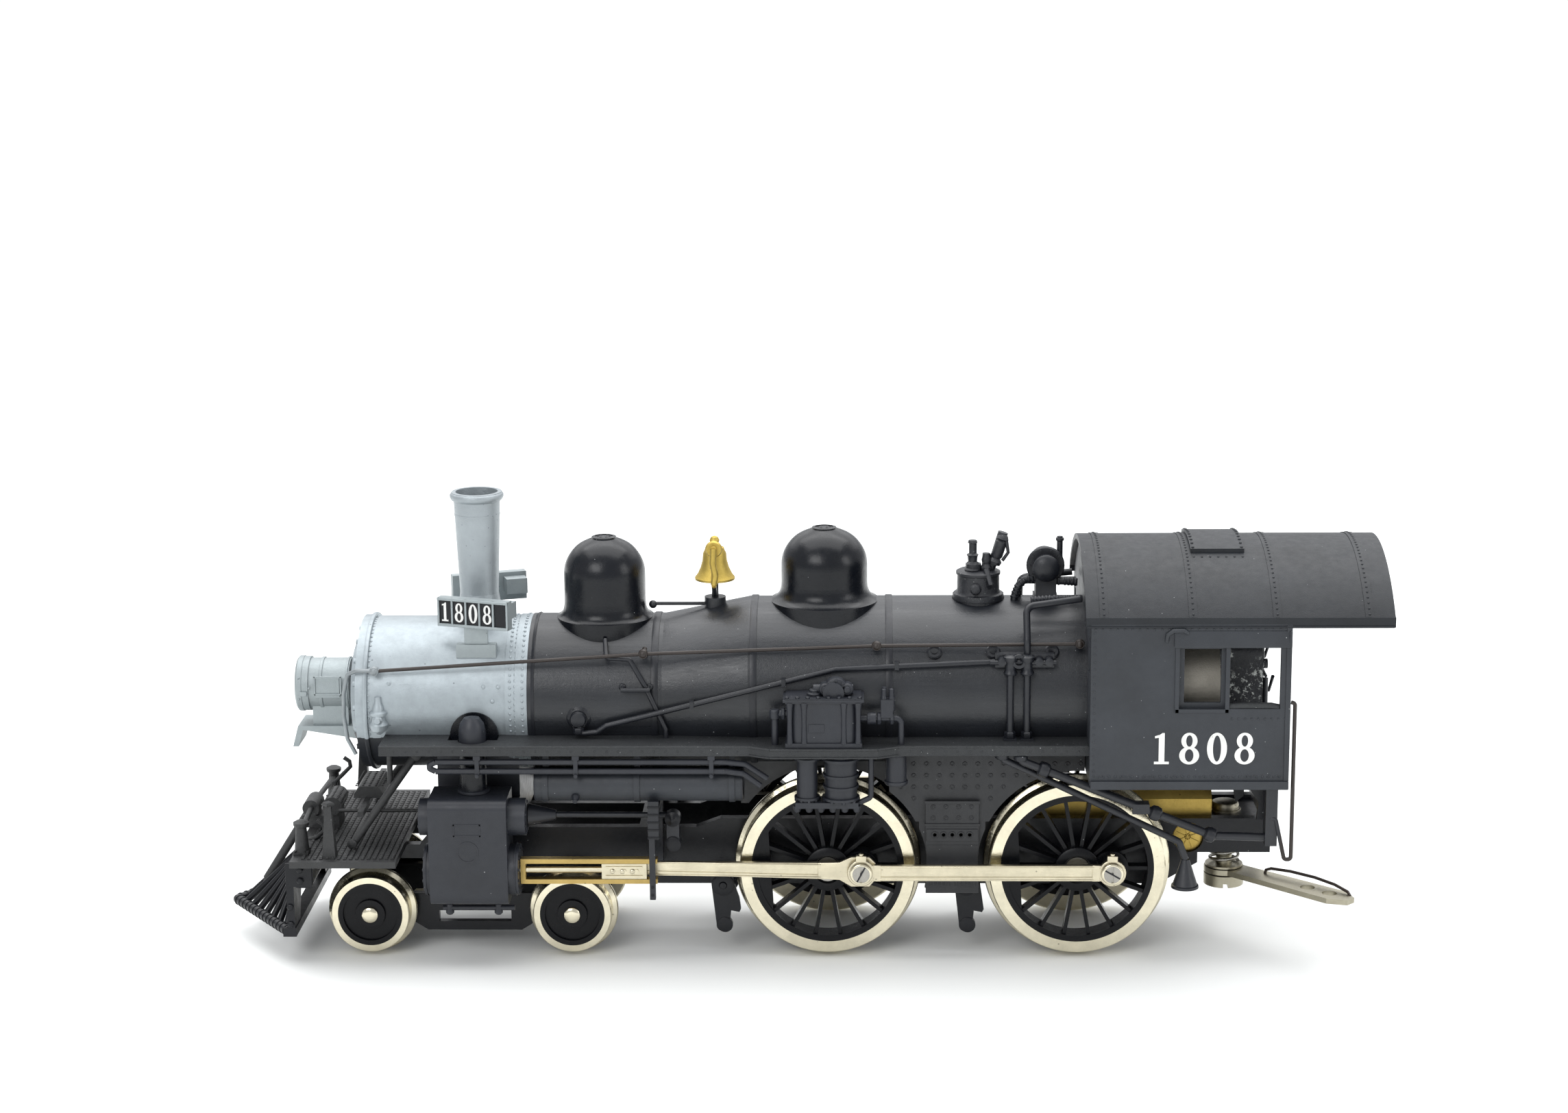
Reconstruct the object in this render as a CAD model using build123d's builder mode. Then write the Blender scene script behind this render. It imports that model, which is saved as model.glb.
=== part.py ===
"""HO-scale brass model of a 4-4-0 steam locomotive, built as separate pieces.

Frame: millimetres, +Z up, wheels stand on z = 0, the pilot points to -X and
the cab to +X, the left-hand side (looking forward) is -Y, y = 0 is the track centre.
"""
from build123d import *
import os
from math import cos, radians, sin, sqrt

os.makedirs("parts", exist_ok=True)

# ---------------------------------------------------------------- driving dimensions
# running gear
WHEEL_BACK = 7.25            # half of the back-to-back distance
TYRE_WIDTH = 2.8
WHEEL_FACE = WHEEL_BACK + TYRE_WIDTH
DRIVER_TREAD_R = 10.65
PONY_TREAD_R = 4.78
FLANGE_HEIGHT = 0.66
DRIVER_R = DRIVER_TREAD_R + FLANGE_HEIGHT
PONY_R = PONY_TREAD_R + FLANGE_HEIGHT
TYRE_INNER_R = 9.25
PONY_DISC_R = 3.95
FRONT_DRIVER_X = 4.14
REAR_DRIVER_X = 34.29
TRUCK_X = -39.36
TRUCK_HALF_BASE = 12.36
DRIVER_Z = DRIVER_R
PONY_Z = PONY_R
AXLE_R = 1.5
PONY_AXLE_R = 0.93
RUNNING_CLEARANCE = 0.05
SPOKES = 18
HUB_R = 2.66

# cranks and rods; the left crank points back, the right one leads it by a quarter turn
CRANK_THROW = 4.05
LEFT_CRANK_DEG = 3.0
RIGHT_CRANK_DEG = LEFT_CRANK_DEG + 90.0
PIN_R = 0.7
CRANK_BOSS_FACE = WHEEL_FACE + 0.25
MAIN_ROD_Y = (11.1, 11.7)    # inner and outer faces, distance from the centre line
SIDE_ROD_Y = (11.8, 12.45)
SCREW_HEAD_Y = (12.5, 12.95)
MAIN_ROD_LENGTH = 28.5
CROSSHEAD_Z = 11.95
CROSSHEAD_HALF_LENGTH = 2.7
GUIDE_Y = (11.9, 13.05)
PISTON_ROD_R = 0.42

# cylinders
CYL_X = (-43.5, -34.1)
CYL_Y = 12.4
CYL_Z = 12.0
CYL_R = 3.2
CYL_CENTRE_Y = 12.15
CHEST_Z = 18.6
CYL_OUTER_Y = 15.4
CYL_INNER_Y = 8.9
CYL_TOP_Z = 21.4
CYL_BOTTOM_Z = 8.3
CYL_ROUNDING = 1.2
STEAM_PIPE_Y = 11.1
STEAM_PIPE_R = 1.65

# boiler
SMOKEBOX_X = (-51.6, -31.9)
SMOKEBOX_R = 9.25
FRONT_AXIS_Z = 31.06
FRONT_R = 9.55
CONE_X = (-15.7, -5.3)
REAR_AXIS_Z = 32.1
REAR_R = 10.6
BOILER_END_X = 51.0
SHELL = 0.7

# boiler fittings, centre positions along the boiler
CHIMNEY_X = -38.43
SAND_DOME_X = -23.05
BELL_X = -9.57
STEAM_DOME_X = 3.78
TURRET_X = 22.5
GENERATOR_X = 30.63

# running boards and cab
BOARD_X = (-49.3, 35.2)
BOARD_Z = (26.65, 27.8)
BOARD_Y = 14.0
CAB_X = (35.2, 58.6)
CAB_HALF_WIDTH = 15.5
CAB_SHEET = 0.7
CAB_Z = (23.4, 43.0)
ROOF_X = (34.6, 70.6)
ROOF_CROWN_Z = 50.2
EAVE_Z = 43.4
WINDOW_X = (45.5, 57.4)
WINDOW_Z = (32.8, 40.3)

# frame, deck and pilot
FRAME_OUTER = 5.6
FRAME_INNER = 4.3
FRAME_TOP = 16.3
FRAME_BOTTOM = 8.0
DECK_X = (-60.4, -47.6)
DECK_Z = (12.95, 13.75)
DECK_Y = 15.0
PILOT_TIP_X = -70.6
PILOT_FOOT_Z = 3.4

# motor and drive
WORM_Z = 16.55
WORM_R = 1.34
GEAR_PITCH_R = WORM_Z - DRIVER_Z - WORM_R
GEAR_TEETH = 28

# drawbar
DRAWBAR_X = 53.1
DRAWBAR_Z = (7.9, 8.55)
DRAWBAR_LENGTH = 18.9
DRAWBAR_REST_DEG = -43.5

LEFT, RIGHT = -1, 1
LOW = (Align.CENTER, Align.CENTER, Align.MIN)


# ---------------------------------------------------------------- shared shapes
def block(x, y, z, mode=Mode.ADD):
    """A box between the pairs x, y and z in the current part."""
    centre = ((x[0] + x[1]) / 2, (y[0] + y[1]) / 2, (z[0] + z[1]) / 2)
    with Locations(centre):
        Box(abs(x[1] - x[0]), abs(y[1] - y[0]), abs(z[1] - z[0]), mode=mode)


def bar(start, end, radius, mode=Mode.ADD):
    """A round bar from start to end."""
    run = Vector(*end) - Vector(*start)
    with Locations(Plane(origin=start, z_dir=run).location):
        Cylinder(radius, run.length, align=LOW, mode=mode)


def taper(start, end, radius_start, radius_end):
    """A tapered round bar from start to end."""
    run = Vector(*end) - Vector(*start)
    with Locations(Plane(origin=start, z_dir=run).location):
        Cone(radius_start, radius_end, run.length, align=LOW)


def post(x, y, z, radius, mode=Mode.ADD):
    """An upright round bar between the pair of heights z."""
    bar((x, y, z[0]), (x, y, z[1]), radius, mode)


def cross_bar(x, z, y, radius, mode=Mode.ADD):
    """A round bar across the track between the pair y."""
    bar((x, y[0], z), (x, y[1], z), radius, mode)


def long_bar(x, y, z, radius, mode=Mode.ADD):
    """A round bar along the track between the pair x."""
    bar((x[0], y, z), (x[1], y, z), radius, mode)


def ball(centre, radius):
    with Locations(centre):
        Sphere(radius)


def pipe(points, radius, bend):
    """A round pipe along straight runs joined by arcs of radius bend."""
    with BuildLine() as route:
        FilletPolyline(*points, radius=bend)
    path = route.wires()[0]
    with BuildSketch(Plane(origin=path @ 0, z_dir=path % 0)) as section:
        Circle(radius)
    sweep(sections=section.sketch, path=path)


def side_plate(points, y, mode=Mode.ADD):
    """A flat plate with an outline in X and Z, between the pair of distances y."""
    with BuildSketch(Plane.XZ.offset(-max(y))) as outline:
        Polygon(*points, align=None)
    extrude(to_extrude=outline.sketch, amount=abs(y[1] - y[0]), mode=mode)


def boiler_volume(grow=0.0, mode=Mode.ADD, x_start=SMOKEBOX_X[0], x_end=BOILER_END_X):
    """The boiler's outer form, larger by grow: smokebox, first course, cone and rear course."""
    if x_start < SMOKEBOX_X[1]:
        long_bar((x_start, SMOKEBOX_X[1]), 0, FRONT_AXIS_Z, SMOKEBOX_R + grow, mode)
    long_bar((SMOKEBOX_X[1], CONE_X[0]), 0, FRONT_AXIS_Z, FRONT_R + grow, mode)
    with BuildSketch(Plane.YZ.offset(CONE_X[0])) as small_end:
        with Locations((0, FRONT_AXIS_Z)):
            Circle(FRONT_R + grow)
    with BuildSketch(Plane.YZ.offset(CONE_X[1])) as large_end:
        with Locations((0, REAR_AXIS_Z)):
            Circle(REAR_R + grow)
    loft(sections=[small_end.sketch, large_end.sketch], mode=mode)
    long_bar((CONE_X[1], x_end), 0, REAR_AXIS_Z, REAR_R + grow, mode)


def write(builder, name):
    builder.part.label = name
    export_step(builder.part, f"parts/{name}.step")


def polar(x, z, radius, degrees):
    """A point in the X-Z plane at an angle from the rearward direction."""
    return x + radius * cos(radians(degrees)), z + radius * sin(radians(degrees))


def roof_height(y):
    """Height of the cab roof's outer face at a distance y from the centre line."""
    return ROOF_RADIUS_Z + sqrt(ROOF_RADIUS**2 - y**2)


ROOF_RADIUS = ((CAB_HALF_WIDTH**2 + (ROOF_CROWN_Z - EAVE_Z)**2) / (2 * (ROOF_CROWN_Z - EAVE_Z)))
ROOF_RADIUS_Z = ROOF_CROWN_Z - ROOF_RADIUS


# ---------------------------------------------------------------- main frame
FRAME_OUTLINE = [
    (-58.0, 11.2), (-58.0, DECK_Z[0]), (-46.0, DECK_Z[0]), (-44.0, 15.2), (-12.0, 15.2), (-9.0, FRAME_TOP),
    (58.0, FRAME_TOP), (58.0, 12.0), (49.2, 12.0), (49.2, 10.7), (44.5, FRAME_BOTTOM), (-20.0, FRAME_BOTTOM),
    (-24.0, 11.2),
]
with BuildPart() as main_frame:
    for side in (LEFT, RIGHT):
        side_plate(FRAME_OUTLINE, (side * FRAME_INNER, side * FRAME_OUTER))
    for x, z in (((-57.0, -50.0), (11.2, 12.95)), ((-42.0, -36.0), (12.0, 15.2)), ((-19.0, -16.5), (9.0, 15.2)),
                 ((17.5, 20.5), (9.0, 15.0)), ((51.6, 58.0), (12.0, 13.2))):
        block(x, (-FRAME_OUTER, FRAME_OUTER), z)
    for axle_x in (FRONT_DRIVER_X, REAR_DRIVER_X):
        cross_bar(axle_x, DRIVER_Z, (-8, 8), AXLE_R + RUNNING_CLEARANCE, Mode.SUBTRACT)
    cross_bar(48.0, 13.9, (-8, 8), 1.9, Mode.SUBTRACT)
    post(DRAWBAR_X, 0, (11, 14), 1.0, Mode.SUBTRACT)
    post(TRUCK_X, 0, (11, 16), 1.0, Mode.SUBTRACT)
write(main_frame, "main_frame")

# ---------------------------------------------------------------- deck, pilot and its fittings
with BuildPart() as pilot_deck:
    block(DECK_X, (-DECK_Y, DECK_Y), DECK_Z)
    for i in range(16):
        rib_x = DECK_X[0] + 1.3 + i * 0.72
        block((rib_x, rib_x + 0.36), (-DECK_Y + 0.9, DECK_Y - 0.9), (DECK_Z[1], DECK_Z[1] + 0.14))
    for x, y in (((-61.3, -56.4), (-2.05, 2.05)), ((-60.4, -58.4), (10.5, 12.7)), ((-60.4, -58.4), (-12.7, -10.5)),
                 ((-56.7, -54.9), (12.0, 13.8)), ((-56.7, -54.9), (-13.8, -12.0))):
        block(x, y, (DECK_Z[1], DECK_Z[1] + 1), Mode.SUBTRACT)
write(pilot_deck, "pilot_deck")

BEAM_X = (-60.7, -58.05)
with BuildPart() as pilot:
    block(BEAM_X, (-12.4, 12.4), (9.6, DECK_Z[0]))
    fillet(pilot.edges().filter_by(Axis.Y).group_by(Axis.Z)[0], 0.9)
    for side in (LEFT, RIGHT):
        bar((PILOT_TIP_X + 0.6, 0, PILOT_FOOT_Z + 0.6), (-61.4, side * 12.0, PILOT_FOOT_Z + 0.6), 0.6)
        for i in range(1, 8):
            foot_y = side * 12.0 * i / 8
            foot_x = PILOT_TIP_X + 0.6 + abs(foot_y) * (9.2 / 12.0)
            taper((foot_x, foot_y, PILOT_FOOT_Z + 0.6), (BEAM_X[0] + 0.4, foot_y * 0.55, 12.0), 0.42, 0.34)
        with BuildSketch(Plane.YZ.offset(-61.4)) as end_plate:
            Polygon((side * 9.4, PILOT_FOOT_Z), (side * 12.4, PILOT_FOOT_Z), (side * 12.4, 9.9),
                    (side * 7.0, 12.6), (side * 6.0, 12.0), align=None)
        extrude(to_extrude=end_plate.sketch, amount=0.9)
    ball((PILOT_TIP_X + 0.6, 0, PILOT_FOOT_Z + 0.6), 0.6)
    block((-62.0, -60.4), (-12.4, 12.4), (PILOT_FOOT_Z, PILOT_FOOT_Z + 1.1))
    for side in (LEFT, RIGHT):
        for z in (10.6, 12.0):
            cross_bar(-59.6, z, (side * 12.4, side * 12.75), 0.42)
write(pilot, "pilot")

KNUCKLE = (-60.0, 0, 16.4)
with BuildPart() as pilot_fittings:
    # coupling bar, folded forward over the pilot, and its knuckle
    block((-61.2, -57.4), (-1.3, 1.3), (DECK_Z[1], 15.3))
    block((-60.9, -59.2), (-1.0, 1.0), (15.2, 16.6))
    cross_bar(KNUCKLE[0], KNUCKLE[2], (-1.9, 1.9), 1.05)
    bar(KNUCKLE, (-66.2, 0, 6.7), 0.55)
    bar((-66.2, 0, 6.7), (-66.5, 0, 6.1), 0.32)
    # flag posts and the lift bar between them
    for side in (LEFT, RIGHT):
        taper((-59.4, side * 11.6, DECK_Z[1]), (-59.4, side * 11.6, 17.3), 0.95, 0.62)
        post(-59.4, side * 11.6, (17.3, 17.7), 0.8)
        block((-60.3, -58.5), (side * 10.6, side * 12.6), (DECK_Z[1], DECK_Z[1] + 0.35))
        bar((-59.4, side * 11.3, 16.6), (KNUCKLE[0], side * 1.6, KNUCKLE[2]), 0.34)
        # tapered square posts on the deck
        with BuildSketch(Plane.XY.offset(DECK_Z[1])) as post_foot:
            with Locations((-55.8, side * 12.9)):
                Rectangle(1.6, 1.6)
        with BuildSketch(Plane.XY.offset(20.3)) as post_head:
            with Locations((-55.8, side * 12.9)):
                Rectangle(0.75, 0.75)
        loft(sections=[post_foot.sketch, post_head.sketch])
    # cylinder-shaped sand trap and the tread step behind it
    cross_bar(-57.2, 16.9, (-2.6, 2.6), 1.15)
    block((-57.9, -56.5), (-2.0, 2.0), (DECK_Z[1], 16.4))
    # braces from the deck up to the smokebox, with a tread step between them
    for side in (LEFT, RIGHT):
        bar((-53.6, side * 10.0, DECK_Z[1] + 0.5), (-45.6, side * 6.4, 25.2), 0.5)
        post(-49.1, side * 7.2, (21.3, 26.0), 0.35)
    side_plate([(-54.3, 18.2), (-54.3, 18.7), (-53.6, 19.7), (-51.3, 19.7), (-50.6, 18.7), (-50.6, 18.2)], (-3.4, 3.4))
    block((-52.9, -52.2), (-9.3, 9.3), (17.6, 18.3))
    boiler_volume(mode=Mode.SUBTRACT)
write(pilot_fittings, "pilot_fittings")

# ---------------------------------------------------------------- cylinders, saddle and steam pipes
ROD_HOLE_R = PISTON_ROD_R + 0.05
with BuildPart() as cylinders:
    # saddle under the smokebox, cast with both cylinders
    block((-43.4, -33.4), (-CYL_INNER_Y, CYL_INNER_Y), (15.2, 19.4))
    block((-43.4, -33.4), (-6.4, 6.4), (19.4, 25.5))
    boiler_volume(mode=Mode.SUBTRACT)
    for side in (LEFT, RIGHT):
        rounded_y = side * (CYL_OUTER_Y - CYL_ROUNDING)
        long_bar(CYL_X, side * CYL_CENTRE_Y, CYL_Z, CYL_R)
        block(CYL_X, (side * CYL_INNER_Y, side * CYL_OUTER_Y), (CYL_Z, CYL_TOP_Z - CYL_ROUNDING))
        block(CYL_X, (side * CYL_INNER_Y, rounded_y), (CYL_TOP_Z - CYL_ROUNDING, CYL_TOP_Z))
        block(CYL_X, (side * 11.5, side * CYL_OUTER_Y), (CYL_BOTTOM_Z + CYL_ROUNDING, CYL_Z))
        block(CYL_X, (side * 11.5, rounded_y), (CYL_BOTTOM_Z, CYL_BOTTOM_Z + CYL_ROUNDING))
        for corner_z in (CYL_TOP_Z - CYL_ROUNDING, CYL_BOTTOM_Z + CYL_ROUNDING):
            long_bar(CYL_X, rounded_y, corner_z, CYL_ROUNDING)
        long_bar((CYL_X[0] - 0.8, CYL_X[1] + 1.2), side * CYL_CENTRE_Y, CYL_Z, CYL_R - 0.1)
        long_bar((CYL_X[0] - 1.3, CYL_X[1] + 2.1), side * 12.2, CHEST_Z, 2.25)
        long_bar((CYL_X[0] + 0.6, CYL_X[1] + 1.4), side * CYL_Y, CYL_Z, ROD_HOLE_R, Mode.SUBTRACT)
        # drain cocks and the rod that works them
        long_bar((-42.3, -33.6), side * 12.9, 7.35, 0.3)
        for cock_x in (-41.5, -35.6):
            post(cock_x, side * 12.9, (6.9, 8.6), 0.35)
write(cylinders, "cylinders")

with BuildPart() as steam_pipes:
    for side in (LEFT, RIGHT):
        pipe([(-38.4, side * 8.0, 27.9), (-38.4, side * STEAM_PIPE_Y, 27.9), (-38.4, side * STEAM_PIPE_Y, CYL_TOP_Z)],
             STEAM_PIPE_R, 1.8)
        cross_bar(-38.4, 27.9, (side * 8.2, side * 9.5), 2.9)
    boiler_volume(mode=Mode.SUBTRACT)
write(steam_pipes, "steam_pipes")

# ---------------------------------------------------------------- smokebox, front, chimney and headlight
with BuildPart() as smokebox:
    long_bar(SMOKEBOX_X, 0, FRONT_AXIS_Z, SMOKEBOX_R)
    long_bar((SMOKEBOX_X[0] - 1, SMOKEBOX_X[1]), 0, FRONT_AXIS_Z, SMOKEBOX_R - SHELL, Mode.SUBTRACT)
    post(CHIMNEY_X, 0, (35, 42), 2.3, Mode.SUBTRACT)
write(smokebox, "smokebox")

FRONT_FACE_X = SMOKEBOX_X[0] - 1.1
with BuildPart() as smokebox_front:
    long_bar((FRONT_FACE_X, SMOKEBOX_X[0]), 0, FRONT_AXIS_Z, 9.4)
    long_bar((FRONT_FACE_X - 0.35, FRONT_FACE_X), 0, FRONT_AXIS_Z, 7.4)
    with BuildSketch(Plane.YZ.offset(FRONT_FACE_X - 0.35)) as door:
        with Locations((0, FRONT_AXIS_Z)):
            Circle(6.6)
    extrude(to_extrude=door.sketch, amount=-0.7, taper=35)
    for i in range(18):
        stud_y, stud_z = polar(0, FRONT_AXIS_Z, 8.35, i * 20.0)
        long_bar((FRONT_FACE_X - 0.4, FRONT_FACE_X), stud_y, stud_z, 0.32)
write(smokebox_front, "smokebox_front")

LAMP_X = (-60.4, -54.5)
LAMP_Z = 32.0
LAMP_R = 3.15
with BuildPart() as headlight:
    long_bar(LAMP_X, 0, LAMP_Z, LAMP_R)
    long_bar((LAMP_X[0] - 0.55, LAMP_X[0] + 0.9), 0, LAMP_Z, LAMP_R + 0.2)
    long_bar((LAMP_X[0] - 0.6, LAMP_X[0] + 1.4), 0, LAMP_Z, LAMP_R - 0.5, Mode.SUBTRACT)
    block((-58.6, -55.6), (-LAMP_R - 0.15, LAMP_R + 0.15), (31.0, 33.4))
    block((-59.2, -54.8), (-2.0, 2.0), (27.2, 29.6))
write(headlight, "headlight")

with BuildPart() as headlight_lens:
    long_bar((LAMP_X[0] - 0.3, LAMP_X[0] + 0.1), 0, LAMP_Z, LAMP_R - 0.5)
write(headlight_lens, "headlight_lens")

with BuildPart() as headlight_bracket:
    with BuildSketch(Plane.XZ) as shelf:
        Polygon((-61.0, 27.2), (FRONT_FACE_X - 0.35 - 0.7, 27.2), (FRONT_FACE_X - 1.05, 25.6), (-60.4, 26.7),
                (-61.0, 24.6), (-61.7, 24.6), align=None)
    extrude(to_extrude=shelf.sketch, amount=2.6, both=True)
write(headlight_bracket, "headlight_bracket")

with BuildPart() as chimney:
    with BuildSketch(Plane.XZ) as half_section:
        with BuildLine():
            Polyline((1.6, 38.0), (2.57, 56.05), (3.05, 56.05), (3.22, 55.6), (3.05, 55.15), (2.82, 55.1),
                     (2.35, 43.5), (2.75, 41.2), (3.3, 40.2), (3.3, 38.0), (1.6, 38.0))
        make_face()
    revolve(profiles=half_section.sketch, axis=Axis.Z, mode=Mode.ADD)
chimney_at_place = Pos(CHIMNEY_X, 0, 0) * chimney.part
with BuildPart() as chimney_placed:
    add(chimney_at_place)
    boiler_volume(mode=Mode.SUBTRACT)
    post(CHIMNEY_X, 0, (35, 44), 1.95, Mode.SUBTRACT)
write(chimney_placed, "chimney")

NUMBER_BOARD = (9.3, 1.0, 3.5)
NUMBER_BOARD_AT = (-38.15, 7.1, 42.55)
NUMBER_BOARD_DEG = 18.6
with BuildPart() as number_boards:
    for side in (LEFT, RIGHT):
        x, y, z = NUMBER_BOARD_AT
        with Locations(Location((x, side * y, z), (0, 0, side * NUMBER_BOARD_DEG))):
            Box(*NUMBER_BOARD)
        with Locations(Location((x + 3.3, side * (y - 0.2), z + 0.3), (0, 0, side * NUMBER_BOARD_DEG))):
            Box(2.6, 2.4, 1.9)
        block((x - 1.4, x + 1.4), (side * 6.2, side * 6.9), (37.0, z - 1.4))
        block((x - 2.4, x + 2.4), (side * 5.9, side * 7.2), (37.0, 38.6))
    boiler_volume(mode=Mode.SUBTRACT)
write(number_boards, "number_boards")

# ---------------------------------------------------------------- boiler shell and its fittings
with BuildPart() as boiler_shell:
    boiler_volume(x_start=SMOKEBOX_X[1])
    long_bar((SMOKEBOX_X[0] - 1, SMOKEBOX_X[1]), 0, FRONT_AXIS_Z, FRONT_R + 1, Mode.SUBTRACT)
    boiler_volume(grow=-SHELL, mode=Mode.SUBTRACT, x_end=BOILER_END_X - SHELL)
write(boiler_shell, "boiler_shell")


def dome(x, radius, top_z, shoulder, base_radius, base_top):
    """A dome on the boiler's top line, its shoulder rounded, with a flared base."""
    angles = (0, 18, 36, 54, 72, 90)
    crown = [(radius * cos(radians(a)), top_z - shoulder + shoulder * sin(radians(a))) for a in angles]
    flare = ((base_radius, base_top), (radius, base_top + 2.2))
    with BuildSketch(Plane.XZ) as half_section:
        with BuildLine():
            Line((0, 34.0), (base_radius, 34.0))
            Line((base_radius, 34.0), flare[0])
            Spline(*flare, tangents=((-1, 0.3), (0, 1)))
            Line(flare[1], (radius, top_z - shoulder))
            Spline(*crown, tangents=((0, 1), (-1, 0)))
            Line((0, top_z), (0, 34.0))
        make_face()
    with BuildPart() as turned:
        revolve(profiles=half_section.sketch, axis=Axis.Z)
    add(Pos(x, 0, 0) * turned.part)


with BuildPart() as sand_dome:
    dome(SAND_DOME_X, 4.97, 50.45, 4.6, 5.9, 40.6)
    boiler_volume(mode=Mode.SUBTRACT)
write(sand_dome, "sand_dome")

with BuildPart() as steam_dome:
    dome(STEAM_DOME_X, 5.25, 51.55, 4.6, 6.6, 42.6)
    boiler_volume(mode=Mode.SUBTRACT)
write(steam_dome, "steam_dome")

with BuildPart() as bell_stand:
    post(BELL_X, 0, (40.0, 42.9), 1.3)
    post(BELL_X, 0, (42.9, 45.0), 0.42)
    for side in (LEFT, RIGHT):
        bar((BELL_X, 0, 43.0), (BELL_X, side * 3.0, 45.0), 0.3)
        bar((BELL_X, side * 3.0, 45.0), (BELL_X, side * 2.6, 49.4), 0.3)
    cross_bar(BELL_X, 49.4, (-2.7, 2.7), 0.28)
    bar((-17.2, 0, 42.0), (BELL_X, 0, 42.0), 0.22)
    ball((-17.2, 0, 41.9), 0.5)
    boiler_volume(mode=Mode.SUBTRACT)
write(bell_stand, "bell_stand")

with BuildPart() as bell:
    with BuildSketch(Plane.XZ) as bell_section:
        with BuildLine():
            Polyline((0, 45.3), (1.9, 45.1), (2.25, 45.15), (1.55, 46.6), (1.3, 48.2), (1.15, 49.0), (0.55, 49.25),
                     (0.45, 50.2), (0, 50.2), (0, 45.3))
        make_face()
    revolve(profiles=bell_section.sketch, axis=Axis.Z)
with BuildPart() as bell_placed:
    add(Pos(BELL_X, 0, 0) * bell.part)
    cross_bar(BELL_X, 49.4, (-3, 3), 0.28, Mode.SUBTRACT)
write(bell_placed, "bell")

with BuildPart() as turret:
    post(TURRET_X, 0, (40.0, 43.3), 3.0)
    post(TURRET_X, 0, (43.3, 46.0), 2.5)
    fillet(turret.faces().sort_by(Axis.Z)[-1].edges(), 0.5)
    post(TURRET_X - 0.6, -0.3, (46.0, 47.0), 0.95)
    post(TURRET_X - 0.6, -0.3, (47.0, 49.6), 0.42)
    bar((TURRET_X + 0.9, 0, 46.0), (TURRET_X + 1.0, 0, 48.2), 0.5)
    bar((TURRET_X + 1.3, 0, 46.0), (TURRET_X + 1.9, 0, 47.4), 0.6)
    bar((TURRET_X + 1.9, 0, 47.2), (TURRET_X + 3.0, 0, 50.8), 0.62)
    boiler_volume(mode=Mode.SUBTRACT)
write(turret, "turret")

with BuildPart() as turbo_generator:
    block((29.4, 31.9), (-1.6, 1.6), (40.0, 45.4))
    cross_bar(GENERATOR_X, 46.8, (-0.9, 0.2), 2.2)
    cross_bar(GENERATOR_X, 46.8, (-2.7, -0.9), 1.5)
    cross_bar(GENERATOR_X, 46.8, (0.2, 2.6), 1.7)
    post(32.4, 0.4, (46.9, 50.2), 0.35)
    pipe([(29.4, 0.8, 44.6), (27.6, 0.8, 44.6), (27.2, 0.8, 41.5)], 0.4, 0.9)
    bar((31.9, 0.8, 44.7), (34.4, 0.8, 44.7), 0.4)
    boiler_volume(mode=Mode.SUBTRACT)
write(turbo_generator, "turbo_generator")

RAIL_R = 0.22
# each knob: place along the boiler, start of its stem, distance of the rail, height
RAIL_KNOBS = ((-50.2, 8.1, 9.3, 35.9), (-17.8, 6.9, 9.35, 38.0), (10.1, 8.32, 9.5, 39.0), (34.3, 8.32, 9.5, 39.2))
FRONT_RAIL_LINE = [(-50.4, 9.3, 35.9), (-52.4, 9.1, 35.9), (-53.6, 8.5, 35.3), (-54.3, 7.6, 32.6),
                   (-54.5, 6.9, 29.6), (-54.3, 6.2, 26.6), (-53.4, 5.9, 24.6)]
with BuildPart() as handrails:
    for side in (LEFT, RIGHT):
        for start, end in zip(RAIL_KNOBS[:-1], RAIL_KNOBS[1:]):
            bar((start[0], side * start[2], start[3]), (end[0], side * end[2], end[3]), RAIL_R)
        pipe([(x, side * y, z) for x, y, z in FRONT_RAIL_LINE], RAIL_R + 0.03, 0.7)
        for x, foot_y, knob_y, z in RAIL_KNOBS:
            cross_bar(x, z, (side * foot_y, side * knob_y), 0.3)
            cross_bar(x, z, (side * (knob_y - 0.42), side * (knob_y + 0.42)), 0.5)
write(handrails, "handrails")

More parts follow.
